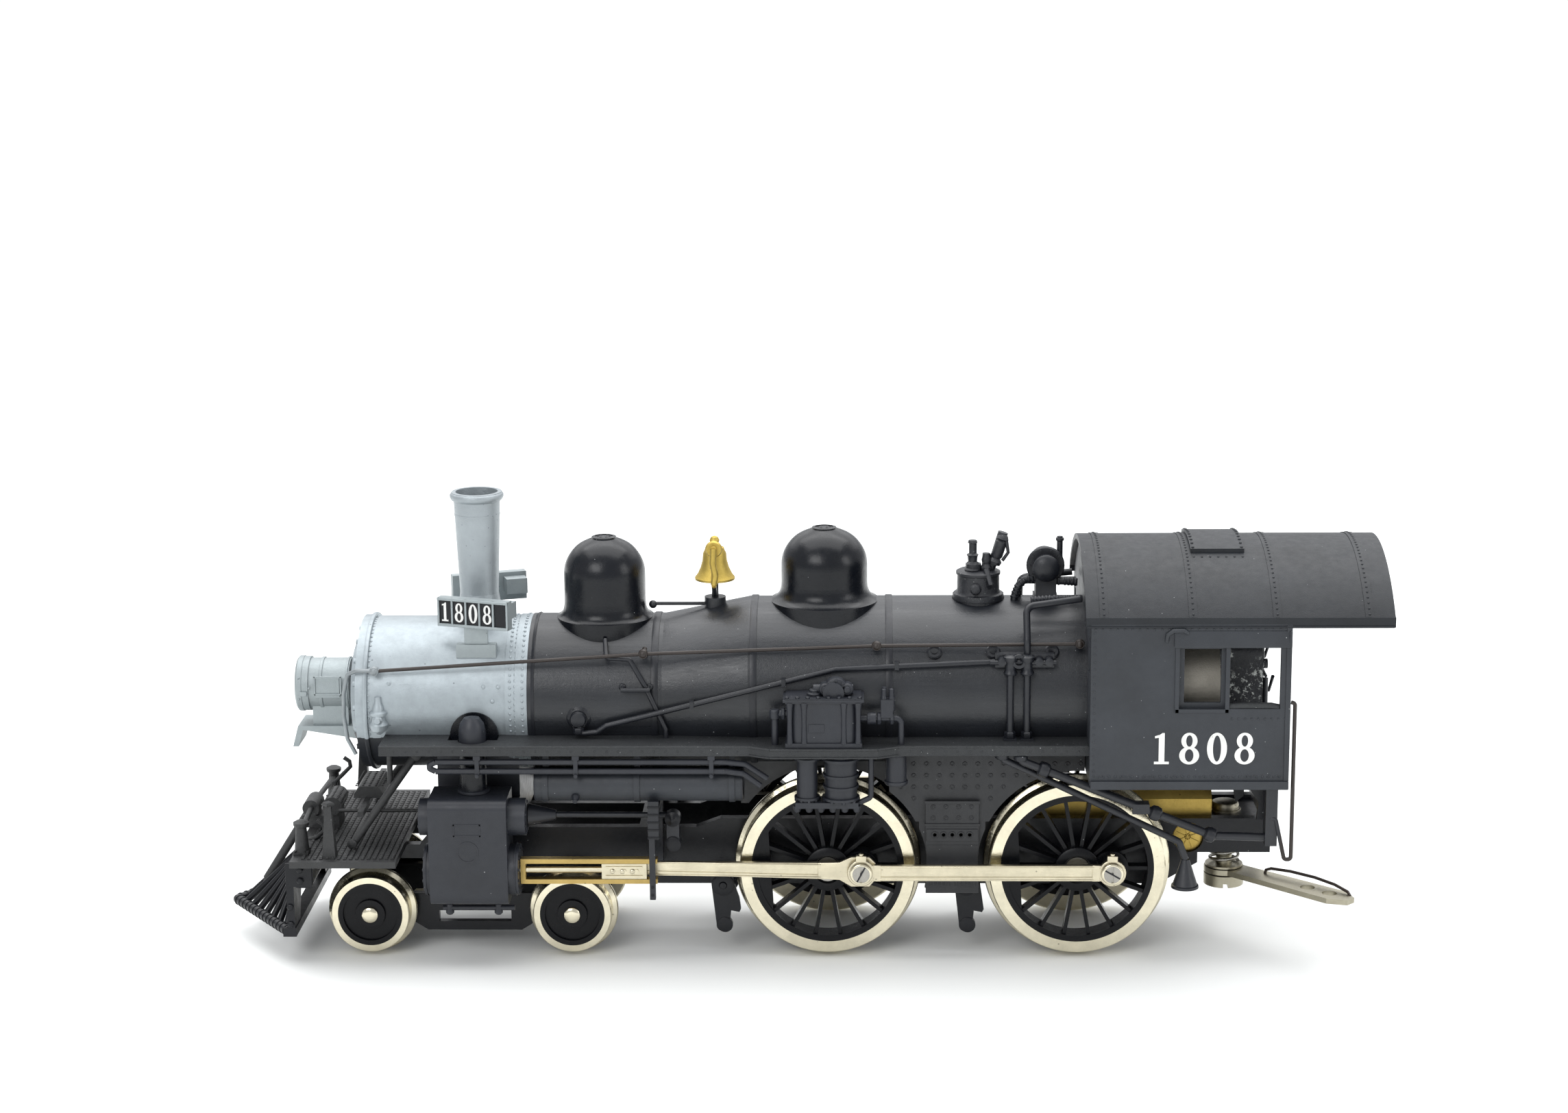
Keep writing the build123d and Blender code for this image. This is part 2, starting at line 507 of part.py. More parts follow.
with BuildPart() as boiler_piping:
    for side in (LEFT, RIGHT):
        # feed check valve and the long feed pipe
        cross_bar(-25.7, 30.1, (side * 8.0, side * 10.1), 1.05)
        ball((-25.7, side * 10.1, 30.1), 0.8)
        pipe([(-25.7, side * 10.2, 29.6), (-25.4, side * 10.3, 28.4), (-23.5, side * 10.4, 28.6),
              (-22.3, side * 10.4, 29.4), (-5.0, side * 10.95, 33.9), (5.2, side * 10.6, 36.4),
              (24.2, side * 10.2, 37.2)], 0.34, 0.45)
        # sand pipe from the sand dome to the board
        pipe([(-22.6, side * 6.3, 39.0), (-22.3, side * 8.5, 37.3), (-19.5, side * 8.8, 37.2),
              (-17.6, side * 9.7, 34.0), (-15.2, side * 10.1, BOARD_Z[1] + 1), (-15.2, side * 10.1, BOARD_Z[1])], 0.3, 0.5)
        # foot step on the boiler side
        bar((-20.3, side * 9.0, 34.0), (-20.3, side * 10.4, 33.8), 0.22)
        bar((-17.2, side * 9.0, 34.0), (-17.2, side * 10.4, 33.8), 0.22)
        bar((-20.5, side * 10.4, 33.8), (-17.0, side * 10.4, 33.8), 0.26)
        # injector cluster and its pipes down to the board
        block((24.2, 31.2), (side * 9.4, side * 10.6), (36.6, 38.2))
        post(26.0, side * 10.9, (BOARD_Z[1], 37.4), 0.42)
        post(28.0, side * 10.9, (BOARD_Z[1], 37.4), 0.42)
        cross_bar(26.0, 37.4, (side * 9.8, side * 11.2), 0.55)
        cross_bar(28.0, 37.4, (side * 9.8, side * 11.2), 0.55)
        pipe([(28.0, side * 10.25, 37.6), (28.0, side * 10.25, 39.8), (28.0, side * 7.9, 43.4),
              (34.4, side * 7.4, 44.2)], 0.42, 1.1)
        for plug_x in (17.0, 24.0, 31.0):
            cross_bar(plug_x, 38.0, (side * 8.0, side * 9.2), 0.6)
    boiler_volume(mode=Mode.SUBTRACT)
write(boiler_piping, "boiler_piping")

# ---------------------------------------------------------------- running boards and what hangs on them
with BuildPart() as running_boards:
    for side in (LEFT, RIGHT):
        block(BOARD_X, (side * 7.0, side * BOARD_Y), BOARD_Z)
        with BuildSketch(Plane.XY.offset(BOARD_Z[0])) as bulge:
            Polygon((-5.2, side * 13.9), (-2.6, side * 15.2), (10.2, side * 15.2), (12.8, side * 13.9), align=None)
        extrude(to_extrude=bulge.sketch, amount=BOARD_Z[1] - BOARD_Z[0])
        post(-38.4, side * STEAM_PIPE_Y, (26, 29), STEAM_PIPE_R + 0.1, Mode.SUBTRACT)
        cross_bar(-38.4, 27.9, (side * 6.0, side * STEAM_PIPE_Y), 3.0, Mode.SUBTRACT)
    boiler_volume(mode=Mode.SUBTRACT)
write(running_boards, "running_boards")

with BuildPart() as air_pump:
    block((-0.4, 8.0), (-14.6, -11.2), (BOARD_Z[1], 33.3))
    fillet(air_pump.edges().filter_by(Axis.Z), 1.4)
    block((-0.7, 8.3), (-14.9, -10.9), (33.3, 33.9))
    cross_bar(5.0, 34.4, (-14.2, -11.4), 1.25)
    long_bar((2.6, 7.3), -12.9, 34.6, 0.6)
    post(1.8, -13.2, (20.9, BOARD_Z[0]), 1.25)
    post(5.8, -13.0, (20.9, BOARD_Z[0]), 1.95)
    for band_z in (22.6, 24.0, 25.9):
        post(5.8, -13.0, (band_z, band_z + 0.3), 2.15)
    block((0.4, 7.9), (-14.6, -11.6), (20.3, 21.0))
    pipe([(-0.2, -12.9, 31.6), (-2.0, -12.9, 31.6), (-2.0, -12.9, BOARD_Z[1])], 0.42, 0.7)
    pipe([(8.0, -12.9, 31.0), (13.0, -12.9, 31.0), (13.0, -12.9, BOARD_Z[1])], 0.36, 0.7)
    long_bar((9.0, 10.0), -12.9, 31.0, 0.7)
    block((10.6, 12.0), (-13.5, -12.2), (31.2, 33.4))
    post(11.0, -12.85, (33.4, 34.8), 0.25)
    post(12.4, -12.4, (22.9, BOARD_Z[0]), 1.25)
    pipe([(9.4, -13.2, BOARD_Z[0]), (9.4, -13.2, 21.3), (7.9, -13.2, 20.6)], 0.33, 0.6)
write(air_pump, "air_pump")

with BuildPart() as cooling_pipes:
    for side in (LEFT, RIGHT):
        long_bar((-42.6, -8.0), side * 13.4, 25.75, 0.36)
        long_bar((-42.6, -8.0), side * 13.4, 24.6, 0.36)
        pipe([(-42.6, side * 13.4, 25.75), (-43.3, side * 13.4, 25.4), (-43.3, side * 13.4, 24.95),
              (-42.6, side * 13.4, 24.6)], 0.36, 0.15)
        for clip_x in (-37.6, -25.8, -9.6):
            block((clip_x - 0.25, clip_x + 0.25), (side * 12.9, side * 13.9), (24.1, BOARD_Z[0]))
        pipe([(-8.0, side * 13.4, 25.75), (-5.6, side * 13.4, 25.5), (-3.0, side * 13.0, 23.6)], 0.36, 0.8)
        pipe([(-8.0, side * 13.4, 24.6), (-5.8, side * 13.4, 24.3), (-3.8, side * 13.0, 22.7)], 0.36, 0.6)
write(cooling_pipes, "cooling_pipes")

TANK_Y, TANK_Z, TANK_R = 10.8, 22.35, 2.1
with BuildPart() as air_tanks:
    for side in (LEFT, RIGHT):
        long_bar((-30.9, -6.0), side * TANK_Y, TANK_Z, TANK_R)
        for band_x in (-30.0, -19.0, -7.6):
            long_bar((band_x, band_x + 0.7), side * TANK_Y, TANK_Z, TANK_R + 0.15)
            block((band_x, band_x + 0.7), (side * (TANK_Y - 0.4), side * (TANK_Y + 0.4)), (TANK_Z, BOARD_Z[0]))
    boiler_volume(mode=Mode.SUBTRACT)
write(air_tanks, "air_tanks")

# ---------------------------------------------------------------- firebox sides, brakes, guides and valve gear
WHEEL_ARCH_R = DRIVER_R + 0.75
with BuildPart() as firebox_sides:
    for side in (LEFT, RIGHT):
        side_plate([(11.6, 17.0), (11.6, BOARD_Z[0]), (35.1, BOARD_Z[0]), (35.1, 22.8), (37.5, 22.8), (37.5, 17.0)],
                   (side * 8.4, side * 9.1))
        side_plate([(15.2, 8.6), (15.2, 18.0), (23.2, 18.0), (23.2, 8.6)], (side * 8.4, side * 9.1))
        block((16.0, 22.4), (side * 9.1, side * 9.6), (8.1, 19.6))
        # waist sheet behind the front driver
        side_plate([(-6.4, 18.6), (-6.4, 26.4), (11.8, 26.4), (11.8, 18.6)], (side * 6.2, side * 6.7))
        block((17.0, 21.4), (side * FRAME_OUTER, side * 8.4), (10.0, 14.0))
    for axle_x in (FRONT_DRIVER_X, REAR_DRIVER_X):
        cross_bar(axle_x, DRIVER_Z, (-10.5, 10.5), WHEEL_ARCH_R, Mode.SUBTRACT)
    boiler_volume(mode=Mode.SUBTRACT)
write(firebox_sides, "firebox_sides")

with BuildPart() as brake_gear:
    for side in (LEFT, RIGHT):
        for hanger_x in (-9.0, 20.6):
            side_plate([(hanger_x - 1.2, 9.9), (hanger_x + 1.9, 9.9), (hanger_x + 2.5, 5.6), (hanger_x + 2.3, 5.2),
                        (hanger_x + 1.3, 5.4), (hanger_x + 1.1, 3.6), (hanger_x - 0.5, 3.6)],
                       (side * 7.7, side * 8.3))
            cross_bar(hanger_x + 0.3, 3.55, (side * 7.7, side * 8.3), 0.82)
            block((hanger_x - 0.6, hanger_x + 0.8), (side * FRAME_OUTER, side * 7.7), (8.4, 9.4))
    for axle_x in (FRONT_DRIVER_X, REAR_DRIVER_X):
        cross_bar(axle_x, DRIVER_Z, (-10.5, 10.5), DRIVER_R + 0.35, Mode.SUBTRACT)
write(brake_gear, "brake_gear")

GUIDE_X = (-32.8, -16.3)
with BuildPart() as guide_bars:
    for side in (LEFT, RIGHT):
        for z in ((12.92, 13.5), (10.4, 10.95)):
            block(GUIDE_X, (side * GUIDE_Y[0], side * GUIDE_Y[1]), z)
        block((GUIDE_X[0], GUIDE_X[0] + 0.6), (side * GUIDE_Y[0], side * GUIDE_Y[1]), (10.4, 13.5))
        long_bar((GUIDE_X[0] - 0.5, GUIDE_X[0] + 1), side * CYL_Y, CYL_Z, ROD_HOLE_R, Mode.SUBTRACT)
write(guide_bars, "guide_bars")

with BuildPart() as valve_gear:
    for side in (LEFT, RIGHT):
        # guide yoke: an upright that ties the guides to the frame over the rods
        block((-17.3, -16.0), (side * 13.05, side * 13.75), (16.2, 20.9))
        block((-17.2, -16.5), (side * 13.05, side * 13.75), (8.6, 16.2))
        block((-17.3, -16.0), (side * FRAME_OUTER, side * 13.75), (19.0, 20.0))
        block((-17.3, -16.0), (side * FRAME_OUTER, side * 7.0), (11.0, 20.0))
        # valve rod and rocker arm
        taper((CYL_X[1] + 2.2, side * 10.5, 18.3), (-28.6, side * 10.5, 18.3), 1.4, 0.6)
        bar((-28.8, side * 10.5, 18.3), (-14.6, side * 10.3, 18.2), 0.36)
        block((-15.25, -13.75), (side * 9.7, side * 10.9), (14.6, 17.9))
        cross_bar(-14.5, 17.9, (side * 9.7, side * 10.9), 0.95)
        cross_bar(-14.5, 14.7, (side * 9.7, side * 10.9), 0.95)
        block((-15.0, -14.0), (side * FRAME_OUTER, side * 9.7), (14.2, 15.6))
write(valve_gear, "valve_gear")

# ---------------------------------------------------------------- cab
with BuildPart() as cab_body:
    block(CAB_X, (-CAB_HALF_WIDTH, CAB_HALF_WIDTH), CAB_Z)
    block((CAB_X[0] + CAB_SHEET, CAB_X[1] + 1), (-CAB_HALF_WIDTH + CAB_SHEET, CAB_HALF_WIDTH - CAB_SHEET),
          (CAB_Z[0] - 1, CAB_Z[1] + 1), Mode.SUBTRACT)
    with BuildSketch(Plane.YZ.offset(CAB_X[0])) as front_wall:
        with BuildLine():
            Polyline((-14.8, CAB_Z[1]), (14.8, CAB_Z[1]), (12.0, roof_height(12.0) - 0.95),
                     (7.0, roof_height(7.0) - 0.95), (0, ROOF_CROWN_Z - 0.95), (-7.0, roof_height(7.0) - 0.95),
                     (-12.0, roof_height(12.0) - 0.95), (-14.8, CAB_Z[1]))
        make_face()
    extrude(to_extrude=front_wall.sketch, amount=CAB_SHEET)
    block(WINDOW_X, (-20, 20), WINDOW_Z, Mode.SUBTRACT)
    for side in (LEFT, RIGHT):
        block((CAB_X[0] + 0.1, CAB_X[1]), (side * (CAB_HALF_WIDTH - 0.7), side * CAB_HALF_WIDTH), (22.9, 24.1))
        block((CAB_X[0] - 0.1, CAB_X[0] + 0.8), (side * 11.6, side * 13.9), (36.5, 41.0), Mode.SUBTRACT)
    # floor plate, cut round the boiler
    block((CAB_X[0] + CAB_SHEET, CAB_X[1]), (-CAB_HALF_WIDTH + CAB_SHEET, CAB_HALF_WIDTH - CAB_SHEET), (23.4, 24.1))
    boiler_volume(mode=Mode.SUBTRACT)
write(cab_body, "cab_body")

with BuildPart() as cab_roof:
    with BuildSketch(Plane.YZ.offset(ROOF_X[0])) as roof_section:
        with Locations((0, ROOF_RADIUS_Z)):
            Circle(ROOF_RADIUS)
            Circle(ROOF_RADIUS - CAB_SHEET, mode=Mode.SUBTRACT)
        with Locations((0, EAVE_Z - 30)):
            Rectangle(80, 60, mode=Mode.SUBTRACT)
        for side in (LEFT, RIGHT):
            with Locations((side * (CAB_HALF_WIDTH - 0.35), EAVE_Z - 0.2)):
                Rectangle(0.7, 1.2)
    extrude(to_extrude=roof_section.sketch, amount=ROOF_X[1] - ROOF_X[0])
    for side in (LEFT, RIGHT):
        block((CAB_X[0], CAB_X[1]), (side * (CAB_HALF_WIDTH + 1), side * (CAB_HALF_WIDTH - 1)),
              (CAB_Z[1] - 2, CAB_Z[1]), Mode.SUBTRACT)
write(cab_roof, "cab_roof")

with BuildPart() as roof_hatch:
    with BuildSketch(Plane.YZ.offset(47.6)) as hatch_section:
        with Locations((0, ROOF_RADIUS_Z)):
            Circle(ROOF_RADIUS + 0.45)
            Circle(ROOF_RADIUS, mode=Mode.SUBTRACT)
        for side in (LEFT, RIGHT):
            with Locations((side * 25.6, 30)):
                Rectangle(40, 80, mode=Mode.SUBTRACT)
        with Locations((0, 0)):
            Rectangle(60, 80, mode=Mode.SUBTRACT)
    extrude(to_extrude=hatch_section.sketch, amount=6.4)
write(roof_hatch, "roof_hatch")

with BuildPart() as window_frames:
    for side in (LEFT, RIGHT):
        inner = side * (CAB_HALF_WIDTH - CAB_SHEET)
        frame_y = (inner, inner - side * 0.45)
        block((45.0, 51.3), frame_y, (32.3, 40.8))
        block((46.2, 50.5), (inner + side * 0.2, inner - side * 1.0), (33.4, 39.9), Mode.SUBTRACT)
        block((51.3, 57.4), (inner - side * 0.05, inner - side * 1.3), (32.1, 32.7))
write(window_frames, "window_frames")

with BuildPart() as backhead:
    block((BOILER_END_X, BOILER_END_X + 5.6), (-5.6, 5.6), (26.0, 38.4))
    fillet(backhead.edges().filter_by(Axis.X), 1.6)
    block((BOILER_END_X, BOILER_END_X + 4.0), (-3.0, 3.0), (24.1, 26.2))
    for y, z in ((-2.6, 35.0), (2.6, 35.0), (0, 31.0), (-3.2, 29.2), (3.2, 29.2)):
        long_bar((BOILER_END_X + 5.6, BOILER_END_X + 6.5), y, z, 0.6)
    long_bar((BOILER_END_X, BOILER_END_X + 3.4), 0, 38.7, 1.0)
write(backhead, "backhead")

with BuildPart() as cab_pipes:
    for side in (LEFT, RIGHT):
        # two sloping pipes under the cab, the lower one ends in a funnel
        pipe([(27.2, side * 13.4, BOARD_Z[0]), (27.2, side * 13.4, 25.9), (50.1, side * 13.4, 16.6),
              (57.0, side * 13.4, 16.4)], 0.5, 0.7)
        pipe([(25.0, side * 12.6, BOARD_Z[0]), (25.0, side * 12.6, 25.9), (46.2, side * 12.6, 15.6),
              (47.0, side * 12.6, 13.4)], 0.42, 0.7)
        taper((47.0, side * 12.6, 13.4), (47.0, side * 12.6, 9.9), 0.5, 1.6)
        block((56.2, 57.6), (side * 12.2, side * 14.4), (15.6, 22.9))
        # handrail behind the cab
        pipe([(58.75, side * 15.1, 33.5), (59.2, side * 15.1, 33.4), (59.2, side * 15.1, 14.2), (58.4, side * 15.1, 14.2),
              (57.4, side * 14.3, 19.0), (56.6, side * 14.2, 19.0)], 0.24, 0.36)
    block((40.5, 42.5), (-13.9, -12.2), (19.4, 20.6))
    block((40.5, 42.5), (12.2, 13.9), (19.4, 20.6))
write(cab_pipes, "cab_pipes")

# ---------------------------------------------------------------- motor, gearbox and worm
with BuildPart() as motor:
    long_bar((41.0, 51.0), 0, WORM_Z, 4.3)
    block((40.0, 52.0), (3.95, 6.0), (8, 24), Mode.SUBTRACT)
    block((40.0, 52.0), (-6.0, -3.95), (8, 24), Mode.SUBTRACT)
    long_bar((39.6, 41.0), 0, WORM_Z, 1.3)
    long_bar((39.0, 45.0), 0, WORM_Z, 0.75 + RUNNING_CLEARANCE, Mode.SUBTRACT)
write(motor, "motor")

with BuildPart() as gearbox:
    for side in (LEFT, RIGHT):
        block((29.6, 39.0), (side * 2.2, side * 3.0), (9.0, 18.6))
    block((29.6, 39.0), (-3.0, 3.0), (18.6, 19.3))
    block((29.6, 30.4), (-3.0, 3.0), (15.0, 18.6))
    block((38.2, 39.0), (-3.0, 3.0), (15.0, 18.6))
    cross_bar(REAR_DRIVER_X, DRIVER_Z, (-4, 4), AXLE_R + RUNNING_CLEARANCE, Mode.SUBTRACT)
    long_bar((29.0, 40.0), 0, WORM_Z, 0.75 + RUNNING_CLEARANCE, Mode.SUBTRACT)
write(gearbox, "gearbox")

TOOTH_PITCH = 2 * 3.14159265 * GEAR_PITCH_R / GEAR_TEETH
THREAD_R = 0.16
with BuildPart() as worm_shaft:
    long_bar((29.7, 44.0), 0, WORM_Z, 0.75)
    long_bar((31.4, 37.2), 0, WORM_Z, WORM_R - 0.3)
    # one-start thread, its bottom at a tooth space of the worm wheel
    start_x = REAR_DRIVER_X - 3 * TOOTH_PITCH
    thread_line = Plane(origin=(start_x, 0, WORM_Z), x_dir=(0, 0, -1), z_dir=(1, 0, 0)).location * Helix(
        pitch=TOOTH_PITCH, height=6 * TOOTH_PITCH, radius=WORM_R - 0.05)
    with BuildSketch(Plane(origin=thread_line @ 0, z_dir=thread_line % 0)) as thread:
        Circle(THREAD_R)
    sweep(sections=thread.sketch, path=thread_line, is_frenet=True)
write(worm_shaft, "worm_shaft")

# ---------------------------------------------------------------- drivers


def wheel_centre(x, side, crank_degrees):
    """A spoked wheel centre with hub, rim, crank boss and counterweight."""
    face = side * WHEEL_FACE
    pin_x, pin_z = polar(x, DRIVER_Z, CRANK_THROW, crank_degrees)
    cross_bar(x, DRIVER_Z, (side * WHEEL_BACK, face), TYRE_INNER_R)
    cross_bar(x, DRIVER_Z, (side * WHEEL_BACK, face), TYRE_INNER_R - 0.75, Mode.SUBTRACT)
    cross_bar(x, DRIVER_Z, (side * WHEEL_BACK, side * (WHEEL_FACE + 0.15)), HUB_R)
    with BuildSketch(Plane.XZ.offset(-side * 8.2)) as spokes:
        with Locations((x, DRIVER_Z)):
            with PolarLocations(5.4, SPOKES):
                Rectangle(6.7, 0.45)
    extrude(to_extrude=spokes.sketch, amount=-side * 1.5)
    cross_bar(pin_x, pin_z, (side * 8.2, side * CRANK_BOSS_FACE), 2.1)
    cross_bar(x, DRIVER_Z, (side * 7, side * 11), AXLE_R, Mode.SUBTRACT)
    cross_bar(pin_x, pin_z, (side * 9.0, side * 11), PIN_R, Mode.SUBTRACT)


def counterweight(x, side, degrees):
    """The segment of cast metal opposite the crank."""
    with BuildSketch(Plane.XZ) as segment:
        Circle(TYRE_INNER_R - 0.7)
        with Locations((6.9 - 20, 0)):
            Rectangle(40, 40, mode=Mode.SUBTRACT)
    turned = Rot(0, -degrees, 0) * segment.sketch
    placed = Pos(x, side * 8.3, DRIVER_Z) * turned
    extrude(to_extrude=placed, amount=1.6, dir=(0, side, 0))


def driver_tyre(x, side):
    """A nickel tyre with its flange on the inner side."""
    with BuildSketch(Plane.XY) as section:
        with BuildLine():
            Polyline((TYRE_INNER_R, WHEEL_FACE), (DRIVER_TREAD_R - 0.12, WHEEL_FACE), (DRIVER_TREAD_R, WHEEL_FACE - 0.15),
                     (DRIVER_TREAD_R + 0.06, 8.05), (DRIVER_R - 0.12, 7.8), (DRIVER_R, 7.65), (DRIVER_R, 7.5),
                     (DRIVER_R - 0.25, WHEEL_BACK), (TYRE_INNER_R, WHEEL_BACK), (TYRE_INNER_R, WHEEL_FACE))
        make_face()
    with BuildPart() as turned:
        revolve(profiles=section.sketch, axis=Axis.Y)
    ring = turned.part if side == RIGHT else Rot(0, 0, 180) * turned.part
    add(Pos(x, 0, DRIVER_Z) * ring)


def axle_and_pins(x, pin_outer, shoulder):
    """The driving axle with both crank pins and their slotted screw heads."""
    cross_bar(x, DRIVER_Z, (-WHEEL_FACE - 0.15, WHEEL_FACE + 0.15), AXLE_R)
    for side, degrees in ((LEFT, LEFT_CRANK_DEG), (RIGHT, RIGHT_CRANK_DEG)):
        pin_x, pin_z = polar(x, DRIVER_Z, CRANK_THROW, degrees)
        cross_bar(pin_x, pin_z, (side * 9.0, side * pin_outer), PIN_R)
        cross_bar(pin_x, pin_z, (side * CRANK_BOSS_FACE, side * shoulder), 1.1)
        cross_bar(pin_x, pin_z, (side * SCREW_HEAD_Y[0], side * SCREW_HEAD_Y[1]), 1.2)
        block((pin_x - 0.13, pin_x + 0.13), (side * (SCREW_HEAD_Y[1] - 0.2), side * 13.2),
              (pin_z - 1.5, pin_z + 1.5), Mode.SUBTRACT)


with BuildPart() as front_wheel_centres:
    for side, degrees in ((LEFT, LEFT_CRANK_DEG), (RIGHT, RIGHT_CRANK_DEG)):
        wheel_centre(FRONT_DRIVER_X, side, degrees)
        counterweight(FRONT_DRIVER_X, side, degrees + 180)
write(front_wheel_centres, "front_wheel_centres")

with BuildPart() as rear_wheel_centres:
    for side, degrees in ((LEFT, LEFT_CRANK_DEG), (RIGHT, RIGHT_CRANK_DEG)):
        wheel_centre(REAR_DRIVER_X, side, degrees)
        counterweight(REAR_DRIVER_X, side, degrees + 180)
write(rear_wheel_centres, "rear_wheel_centres")

with BuildPart() as front_tyres:
    for side in (LEFT, RIGHT):
        driver_tyre(FRONT_DRIVER_X, side)
write(front_tyres, "front_tyres")

with BuildPart() as rear_tyres:
    for side in (LEFT, RIGHT):
        driver_tyre(REAR_DRIVER_X, side)
write(rear_tyres, "rear_tyres")

with BuildPart() as front_driver_axle:
    axle_and_pins(FRONT_DRIVER_X, SCREW_HEAD_Y[0], MAIN_ROD_Y[0] - 0.05)
write(front_driver_axle, "front_driver_axle")

with BuildPart() as rear_driver_axle:
    axle_and_pins(REAR_DRIVER_X, SCREW_HEAD_Y[0], SIDE_ROD_Y[0] - 0.05)
    # worm wheel
    cross_bar(REAR_DRIVER_X, DRIVER_Z, (-1.1, 1.1), GEAR_PITCH_R - 0.22)
    with BuildSketch(Plane.XZ.offset(-1.1)) as tooth_row:
        with Locations((REAR_DRIVER_X, DRIVER_Z)):
            with PolarLocations(GEAR_PITCH_R - 0.12, GEAR_TEETH, start_angle=90 + 180 / GEAR_TEETH):
                Rectangle(0.36, 0.34)
    extrude(to_extrude=tooth_row.sketch, amount=2.2)
write(rear_driver_axle, "rear_driver_axle")

# ---------------------------------------------------------------- rods and crossheads
ROD_HOLE = PIN_R + RUNNING_CLEARANCE


def side_rod_shape(side, degrees):
    """A fluted coupling rod between the crank pins of the two drivers."""
    pin_a = polar(FRONT_DRIVER_X, DRIVER_Z, CRANK_THROW, degrees)
    pin_b = polar(REAR_DRIVER_X, DRIVER_Z, CRANK_THROW, degrees)
    inner, outer = side * SIDE_ROD_Y[0], side * SIDE_ROD_Y[1]
    block((pin_a[0], pin_b[0]), (inner, outer), (pin_a[1] - 0.95, pin_a[1] + 0.95))
    block((pin_a[0] + 2.2, pin_b[0] - 2.2), (outer, outer - side * 0.14), (pin_a[1] - 0.5, pin_a[1] + 0.5),
          Mode.SUBTRACT)
    for pin_x, pin_z in (pin_a, pin_b):
        cross_bar(pin_x, pin_z, (inner, outer), 1.45)
        block((pin_x - 0.5, pin_x + 0.5), (inner, outer), (pin_z + 1.0, pin_z + 1.95))
        cross_bar(pin_x, pin_z, (inner - side, outer + side), ROD_HOLE, Mode.SUBTRACT)


def crosshead_x(degrees):
    """Where the crosshead pin stands for a crank angle."""
    pin_x, pin_z = polar(FRONT_DRIVER_X, DRIVER_Z, CRANK_THROW, degrees)
    return pin_x - sqrt(MAIN_ROD_LENGTH**2 - (pin_z - CROSSHEAD_Z)**2)


def main_rod_shape(side, degrees):
    """A fluted connecting rod from the front crank pin to the crosshead."""
    pin_x, pin_z = polar(FRONT_DRIVER_X, DRIVER_Z, CRANK_THROW, degrees)
    small_x = crosshead_x(degrees)
    inner, outer = side * MAIN_ROD_Y[0], side * MAIN_ROD_Y[1]
    side_plate([(small_x, CROSSHEAD_Z - 0.75), (pin_x, pin_z - 1.05), (pin_x, pin_z + 1.05),
                (small_x, CROSSHEAD_Z + 0.75)], (inner, outer))
    slope = (pin_z - CROSSHEAD_Z) / (pin_x - small_x)
    flute = (small_x + 2.0, pin_x - 3.0)
    flute_z = [CROSSHEAD_Z + slope * (x - small_x) for x in flute]
    side_plate([(flute[0], flute_z[0] - 0.34), (flute[1], flute_z[1] - 0.55), (flute[1], flute_z[1] + 0.55),
                (flute[0], flute_z[0] + 0.34)], (outer, outer - side * 0.14), Mode.SUBTRACT)
    cross_bar(pin_x, pin_z, (inner, outer), 1.7)
    cross_bar(small_x, CROSSHEAD_Z, (inner, outer), 0.95)
    cross_bar(pin_x, pin_z, (inner - side, outer + side), ROD_HOLE, Mode.SUBTRACT)
    cross_bar(small_x, CROSSHEAD_Z, (inner - side, outer + side), 0.4, Mode.SUBTRACT)


def crosshead_shape(side, degrees):
    """A crosshead block with its piston rod, which slides into the cylinder."""
    x = crosshead_x(degrees)
    block((x - CROSSHEAD_HALF_LENGTH, x + CROSSHEAD_HALF_LENGTH), (side * 11.9, side * 13.0), (11.0, 12.87))
    long_bar((x - 12.6, x - CROSSHEAD_HALF_LENGTH + 0.3), side * CYL_Y, CYL_Z, PISTON_ROD_R)
    for rivet in (-1.5, 0.0, 1.5):
        cross_bar(x + rivet, CROSSHEAD_Z, (side * 13.0, side * 13.12), 0.28)


with BuildPart() as side_rod_left:
    side_rod_shape(LEFT, LEFT_CRANK_DEG)
write(side_rod_left, "side_rod_left")
with BuildPart() as side_rod_right:
    side_rod_shape(RIGHT, RIGHT_CRANK_DEG)
write(side_rod_right, "side_rod_right")
with BuildPart() as main_rod_left:
    main_rod_shape(LEFT, LEFT_CRANK_DEG)
write(main_rod_left, "main_rod_left")
with BuildPart() as main_rod_right:
    main_rod_shape(RIGHT, RIGHT_CRANK_DEG)
write(main_rod_right, "main_rod_right")
with BuildPart() as crosshead_left:
    crosshead_shape(LEFT, LEFT_CRANK_DEG)
write(crosshead_left, "crosshead_left")
with BuildPart() as crosshead_right:
    crosshead_shape(RIGHT, RIGHT_CRANK_DEG)
write(crosshead_right, "crosshead_right")

# ---------------------------------------------------------------- leading truck
with BuildPart() as truck_frame:
    for side in (LEFT, RIGHT):
        side_plate([(-54.2, 3.6), (-54.2, 6.9), (-24.5, 6.9), (-24.5, 3.6), (-31.4, 3.6), (-33.6, 2.2), (-45.2, 2.2),
                    (-47.4, 3.6)], (side * 5.3, side * 6.3))
        block((-43.8, -34.9), (side * 5.0, side * 6.6), (3.3, 4.7), Mode.SUBTRACT)
    block((-43.4, -35.3), (-6.3, 6.3), (6.0, 7.2))
    for side in (LEFT, RIGHT):
        axle_x = TRUCK_X + side * TRUCK_HALF_BASE
        cross_bar(axle_x, PONY_Z, (-7, 7), PONY_AXLE_R + RUNNING_CLEARANCE, Mode.SUBTRACT)
    post(TRUCK_X, 0, (5.9, 7.3), 1.05, Mode.SUBTRACT)
write(truck_frame, "truck_frame")

